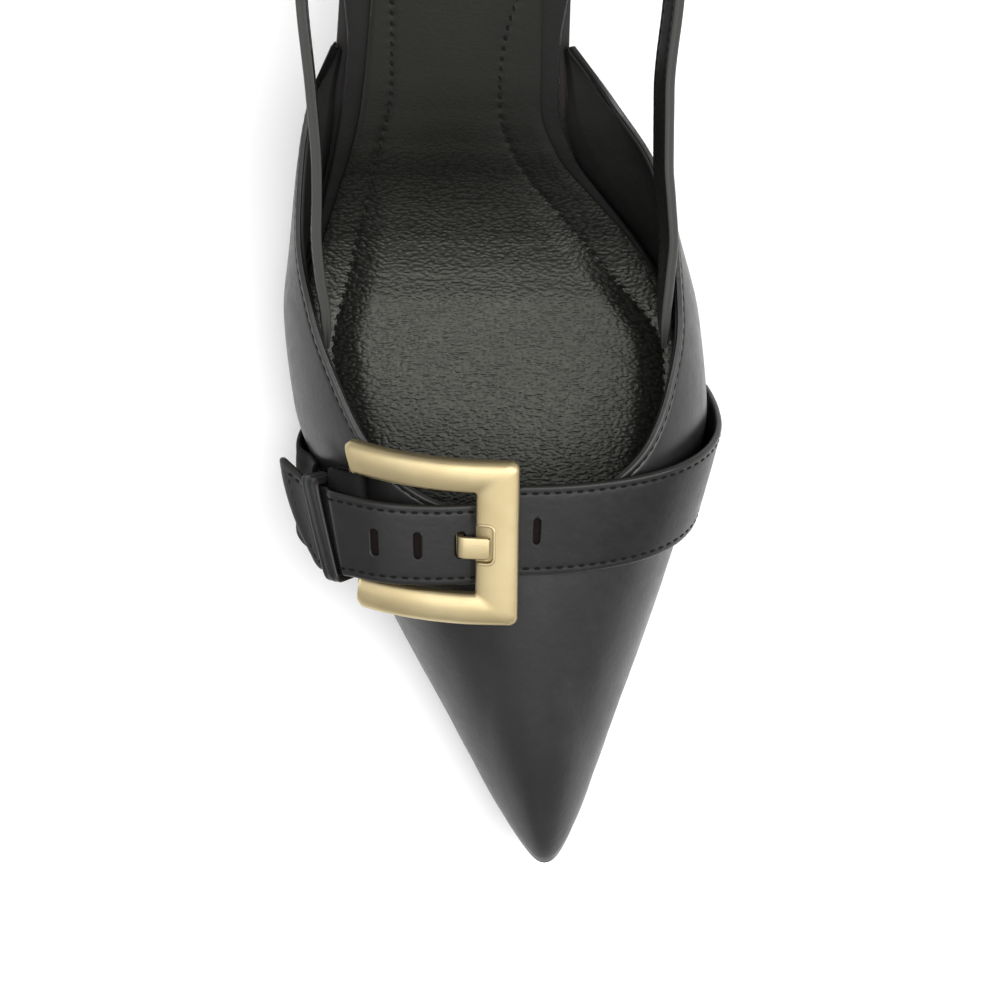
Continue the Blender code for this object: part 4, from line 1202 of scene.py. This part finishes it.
keeper_high = TAIL_IN_KEEPER + (BELT_THICKNESS + KEEPER_THICKNESS) / 2 + FIT
keeper_half = TAIL_HALF + FIT + KEEPER_THICKNESS / 2
keeper_low = KEEPER_THICKNESS / 2
CORNER_POWER = 0.16
loop = []
for k in range(96):
    up, out = sin(2 * pi * k / 96), cos(2 * pi * k / 96)
    a = keeper_half * np.sign(out) * abs(out)**CORNER_POWER
    b = (keeper_high - keeper_low) / 2 * np.sign(up) * abs(up)**CORNER_POWER
    loop.append((a, (keeper_high + keeper_low) / 2 + b))
loop = np.array(loop + loop[:1])
round_runs = runs_of(loop)
loop = at_runs(loop, round_runs, np.linspace(0, round_runs[-1], 121)[:-1])
ahead = unit(np.roll(loop, -1, axis=0) - np.roll(loop, 1, axis=0))
keeper_section = belt_section(KEEPER_WIDTH / 2, KEEPER_THICKNESS, 0.0009, 0.00006, 0.00003)
rings = []
for (across, lift), (da, db) in zip(loop, ahead):
    rings.append(on_arch(-KEEPER_RUN + keeper_section[:, 0], across + db * keeper_section[:, 1],
                         lift - da * keeper_section[:, 1]))
# Painted highlight: the keeper's edges take the belt leather's lighter edge colour.
rim = np.where(np.abs(keeper_section[:, 0]) > KEEPER_WIDTH / 2 - PAINTED_HIGHLIGHT_EDGE, 0.8, 0.0)
keeper = skin("keeper_leather", rings, joined=True, rim=rim)
finish_piece(keeper, "black_leather", [belt_leather], "keeper")

# Buckle frame: one cast and brushed frame with a pillowed face and soft corners, bent to
# the vamp. Its slim far bar is hidden by the fold, and the near bar has a rest for the prong.

ARM_WIDTH = 0.0060
BAR_THICKNESS = 0.0026
WINDOW_HALF = 0.0187 / 2
FRAME_SHIFT = -0.0019
INNER_ROUND = 0.0005
OUTER_ROUND = 0.0016
REST_DEPTH = 0.0030
REST_HALF = 0.0034
REST_ROUND = 0.0009
FRAME_LOW = BELT_THICKNESS + 2 * FIT

# Section of the frame, from the window outwards: share across, share of the thickness.
PILLOW = (
    (0.000, 0.00), (0.000, 0.42), (0.012, 0.60), (0.040, 0.73), (0.090, 0.815), (0.150, 0.870),
    (0.220, 0.918), (0.300, 0.958), (0.380, 0.985), (0.460, 1.00), (0.540, 1.00), (0.620, 0.99),
    (0.700, 0.968), (0.780, 0.932), (0.850, 0.875), (0.910, 0.79), (0.955, 0.66), (0.985, 0.48),
    (1.000, 0.30), (1.000, 0.00), (0.750, 0.00), (0.500, 0.00), (0.250, 0.00),
)
outer_half = WINDOW_HALF + ARM_WIDTH
right_in, right_out = -RIGHT_BAR_INSIDE, FRAME_END
left_in, left_out = -HIDDEN_RUN + HIDDEN_BAR / 2, -HIDDEN_RUN - HIDDEN_BAR / 2
slim = (BAR_LOW, HIDDEN_BAR)
wide_bar = (FRAME_LOW, BAR_THICKNESS)


def frame_corner(side, end, reverse):
    """Stations round one corner, from the arm to the cross bar."""
    run_in, run_out = (right_in, right_out) if end > 0 else (left_in, left_out)
    made = []
    for i in range(13):
        angle = pi / 2 * i / 12
        swing = np.array((end * sin(angle), side * cos(angle)))
        inside, outside = (
            np.array((run - end * bend, side * (half - bend))) + bend * swing
            for run, half, bend in ((run_in, WINDOW_HALF, INNER_ROUND),
                                    (run_out, outer_half, OUTER_ROUND)))
        turn_slim = soft_step((i - 8) / 4) if end < 0 else 0
        low = wide_bar[0] + (slim[0] - wide_bar[0]) * turn_slim
        tall = wide_bar[1] + (slim[1] - wide_bar[1]) * turn_slim
        made.append((inside, outside, (low, tall)))
    return made[::-1] if reverse else made


stations = [((left_in, WINDOW_HALF * t), (left_out, WINDOW_HALF * t), slim)
            for t in np.linspace(-0.9, 0.9, 12)]
stations += frame_corner(1, -1, True)
arm_runs = np.linspace(left_in, right_in, 34)[1:-1]
stations += [((run, WINDOW_HALF), (run, outer_half), wide_bar) for run in arm_runs]
stations += frame_corner(1, 1, False)
stations += [((right_in, w), (right_out, w), wide_bar)
             for w in np.linspace(WINDOW_HALF - 0.0007, 0.0007 - WINDOW_HALF, 40)]
stations += frame_corner(-1, 1, True)
stations += [((run, -WINDOW_HALF), (run, -outer_half), wide_bar) for run in reversed(arm_runs)]
stations += frame_corner(-1, -1, False)
rings = []
shape = np.array(PILLOW)
for inner_point, outer_point, (low, tall) in stations:
    inner_point, outer_point = np.array(inner_point), np.array(outer_point)
    spots = inner_point + (outer_point - inner_point) * shape[:, :1]
    rings.append(on_arch(spots[:, 0], spots[:, 1] + FRAME_SHIFT, low + tall * shape[:, 1], False))


def rest_outline(grow, reach_in, count=7):
    """The U round the prong's rest: runs and places across, open to the window."""
    half, deep, bend = REST_HALF + grow, REST_DEPTH + grow, REST_ROUND + grow
    corner = [(-RIGHT_BAR_INSIDE + deep - bend + bend * sin(a), half - bend + bend * cos(a))
              for a in np.linspace(0, pi / 2, count)]
    straight = [(-RIGHT_BAR_INSIDE + t, half) for t in np.linspace(reach_in, deep - bend, 8)[:-1]]
    side = straight + corner
    across = [(side[-1][0], t) for t in np.linspace(side[-1][1], -side[-1][1], 14)[1:-1]]
    return np.array(side + across + [(run, -w) for run, w in reversed(side)])


def frame_height(run):
    """Height of the near bar's face at a run."""
    share = (run + RIGHT_BAR_INSIDE) / (RIGHT_BAR_INSIDE + FRAME_END)
    return FRAME_LOW + BAR_THICKNESS * np.interp(share, shape[1:19, 0], shape[1:19, 1])


def brushed_gold(name, colour, deep, roughness):
    """Pale gold plate, brushed along each bar and lightly lacquered."""
    material, tree, shader = new_material(name, Metallic=1.0, Coat_Weight=0.15,
                                          Coat_Roughness=0.25)
    flat = node(tree, "UVMap", 0, {"uv_map": "flat"})
    drawn = node(tree, "Mapping", 0, (), Vector=flat, Scale=(260.0, 9000.0, 1.0))
    brushed = noise(tree, drawn, 1.0, 3.0, 0.6)
    clouds = noise(tree, node(tree, "TexCoord", 3), 160.0, 2.0)
    link(tree, blend_colour(tree, ramp(tree, clouds, 0.3, 0.7), colour, deep),
         shader.inputs["Base Color"])
    link(tree, ramp(tree, brushed, 0.3, 0.7, roughness - 0.05, roughness + 0.07),
         shader.inputs["Roughness"])
    link(tree, bump(tree, brushed, 0.00003, 0.35), shader.inputs["Normal"])
    return material


gold_metal = brushed_gold("gold_metal", (0.450, 0.370, 0.215), (0.405, 0.325, 0.178), 0.44)
buckle = skin("buckle_frame_metal", rings, joined=True)
runs, across = rest_outline(0, -0.0010).T
rest_rings = [on_arch(runs, across + FRAME_SHIFT, FRAME_LOW + lift * BAR_THICKNESS, False)
              for lift in (0.30, 1.4)]
cut_away(buckle, [skin("rest_plug", rest_rings)], [gold_metal])
finish_piece(buckle, "gold_metal", [], "buckle_frame")

BEAD_WIDE = 0.00030
BEAD_TALL = 0.00024
runs, across = rest_outline(0.00022, 0.0).T
bead_line, bead_top = (on_arch(runs, across + FRAME_SHIFT, frame_height(runs) + lift, False)
                       for lift in (-0.00005, 0.001))
bead_up = unit(bead_top - bead_line)
bead_side = unit(np.cross(bead_up, np.gradient(bead_line, axis=0)))
rings = []
for i, point in enumerate(bead_line):
    grow = min(1, 0.35 + min(i, len(bead_line) - 1 - i) / 3)
    wide, tall = bead_side[i] * BEAD_WIDE * grow, bead_up[i] * BEAD_TALL * grow
    rings.append([point + wide * cos(a) + tall * sin(a)
                  for a in np.linspace(0, 2 * pi, 13)[:-1]])
rest_bead = skin("buckle_rest_bead", rings)
finish_piece(rest_bead, "gold_metal", [gold_metal])

# Prong: a flat tongue pressed from the frame's metal and hooked round the hidden bar. It
# comes up through the belt's slot and lies in the rest of the near bar.

high = FRAME_LOW + BAR_THICKNESS * 0.55
back = HIDDEN_RUN + HIDDEN_BAR / 2 + FIT + PRONG_THICKNESS / 2
PRONG_PATH = (
    (-back, BAR_HIGH - FIT), (-back, BAR_LOW), (-back + 2 * FIT, PRONG_THICKNESS / 2 + FIT),
    (-HIDDEN_RUN, PRONG_THICKNESS / 2),
    (-PRONG_SLOT_RUN + 0.0001, PRONG_THICKNESS / 2),
    (-PRONG_SLOT_RUN + 0.0002, high * 0.6),
    (-PRONG_SLOT_RUN + 0.0004, high),
    (-RIGHT_BAR_INSIDE - 0.0002, high),
    (-RIGHT_BAR_INSIDE + REST_DEPTH - 2 * FIT, high),
)
PRONG_STEP = 0.0003
path = rounded_path(PRONG_PATH, PRONG_STEP)
ahead = unit(np.gradient(path, axis=0))
half, wall, bend = PRONG_WIDTH / 2, PRONG_THICKNESS / 2, 0.00025
corner = [(half - bend + bend * sin(a), wall - bend + bend * cos(a))
          for a in np.linspace(0, pi / 2, 4)]
top_half = [(0, wall)] + corner
ring = top_half + [(x, -y) for x, y in reversed(top_half)]
ring += [(-x, y) for x, y in reversed(ring[1:-1])]
ring = np.array(ring)
rings = []
for i, ((run, lift), (forward, rise)) in enumerate(zip(path, ahead)):
    to_end = len(path) - 1 - i
    trim = 1 - 0.10 * max(0, 1 - to_end / 2)
    hook = 0.55 + 0.45 * min(1, i / 7)
    middle = -turn_aside(np.maximum(-run, PRONG_SLOT_RUN))
    rings.append(on_arch(run - rise * ring[:, 1], middle + ring[:, 0] * trim * hook,
                         lift + forward * ring[:, 1] * trim, False))
prong = skin("buckle_prong_metal", rings)
finish_piece(prong, "gold_metal", [gold_metal], "buckle_prong")

# Studio: a pale seamless floor in an even white room, with a soft light overhead, a weak
# one over the toe, and one on each side, the stronger on the right.


def pale_floor(name):
    material, tree, shader = new_material(name, Roughness=0.9, Specular_IOR_Level=0.1)
    fibre = noise(tree, node(tree, "TexCoord", 3), 30.0, 3.0)
    link(tree, blend_colour(tree, fibre, (0.90, 0.90, 0.90), (0.92, 0.92, 0.92)),
         shader.inputs["Base Color"])
    return material


FLOOR_REACH = 4.0
FLOOR_DEPTH = 0.0002
floor_mesh = bpy.data.meshes.new("studio_floor")
floor_mesh.from_pydata([(x * FLOOR_REACH, y * FLOOR_REACH, -FLOOR_DEPTH)
                        for x, y in ((-1, -1), (1, -1), (1, 1), (-1, 1))], [], [(0, 1, 2, 3)])
floor_mesh.materials.append(pale_floor("studio_paper"))
placed("studio_floor", floor_mesh)

LIT_CENTRE = Vector((0.0, -0.12, 0.03))
for name, place, size, power in (
        ("overhead", (0.0, -0.10, 1.6), (1.5, 1.0), 19),
        ("toe_side", (0.0, -1.10, 1.5), (2.4, 0.8), 3),
        ("left_side", (-1.3, -0.1, 1.3), (0.8, 1.6), 6),
        ("right_side", (1.3, -0.1, 1.3), (0.8, 1.6), 25)):
    light = bpy.data.lights.new(name, "AREA")
    light.shape = "RECTANGLE"
    light.size, light.size_y = size
    light.energy = power
    lamp = placed(name, light)
    lamp.location = place
    lamp.rotation_mode = "QUATERNION"
    lamp.rotation_quaternion = (LIT_CENTRE - Vector(place)).to_track_quat("-Z", "Y")

world = bpy.data.worlds.new("studio")
world.use_nodes = True
sky = world.node_tree.nodes["Background"]
sky.inputs["Color"].default_value = (1, 1, 1, 1)
sky.inputs["Strength"].default_value = 0.64
bpy.context.scene.world = world

eye = Vector((-0.0560, -0.1010, 1.000))
target = Vector((0.0042, -0.1578, 0.015))
forward = (target - eye).normalized()
right = forward.cross(Vector((0, 1, 0))).normalized()
up = right.cross(forward)
lens = bpy.data.cameras.new("photo_camera")
lens.lens = 188.6
lens.sensor_width = 36
lens.clip_start = 0.01
lens.clip_end = 20
camera = placed("photo_camera", lens)
camera.matrix_world = Matrix((
    (right.x, up.x, -forward.x, eye.x),
    (right.y, up.y, -forward.y, eye.y),
    (right.z, up.z, -forward.z, eye.z),
    (0, 0, 0, 1)))
bpy.context.scene.camera = camera
bpy.context.scene.view_settings.view_transform = "Standard"
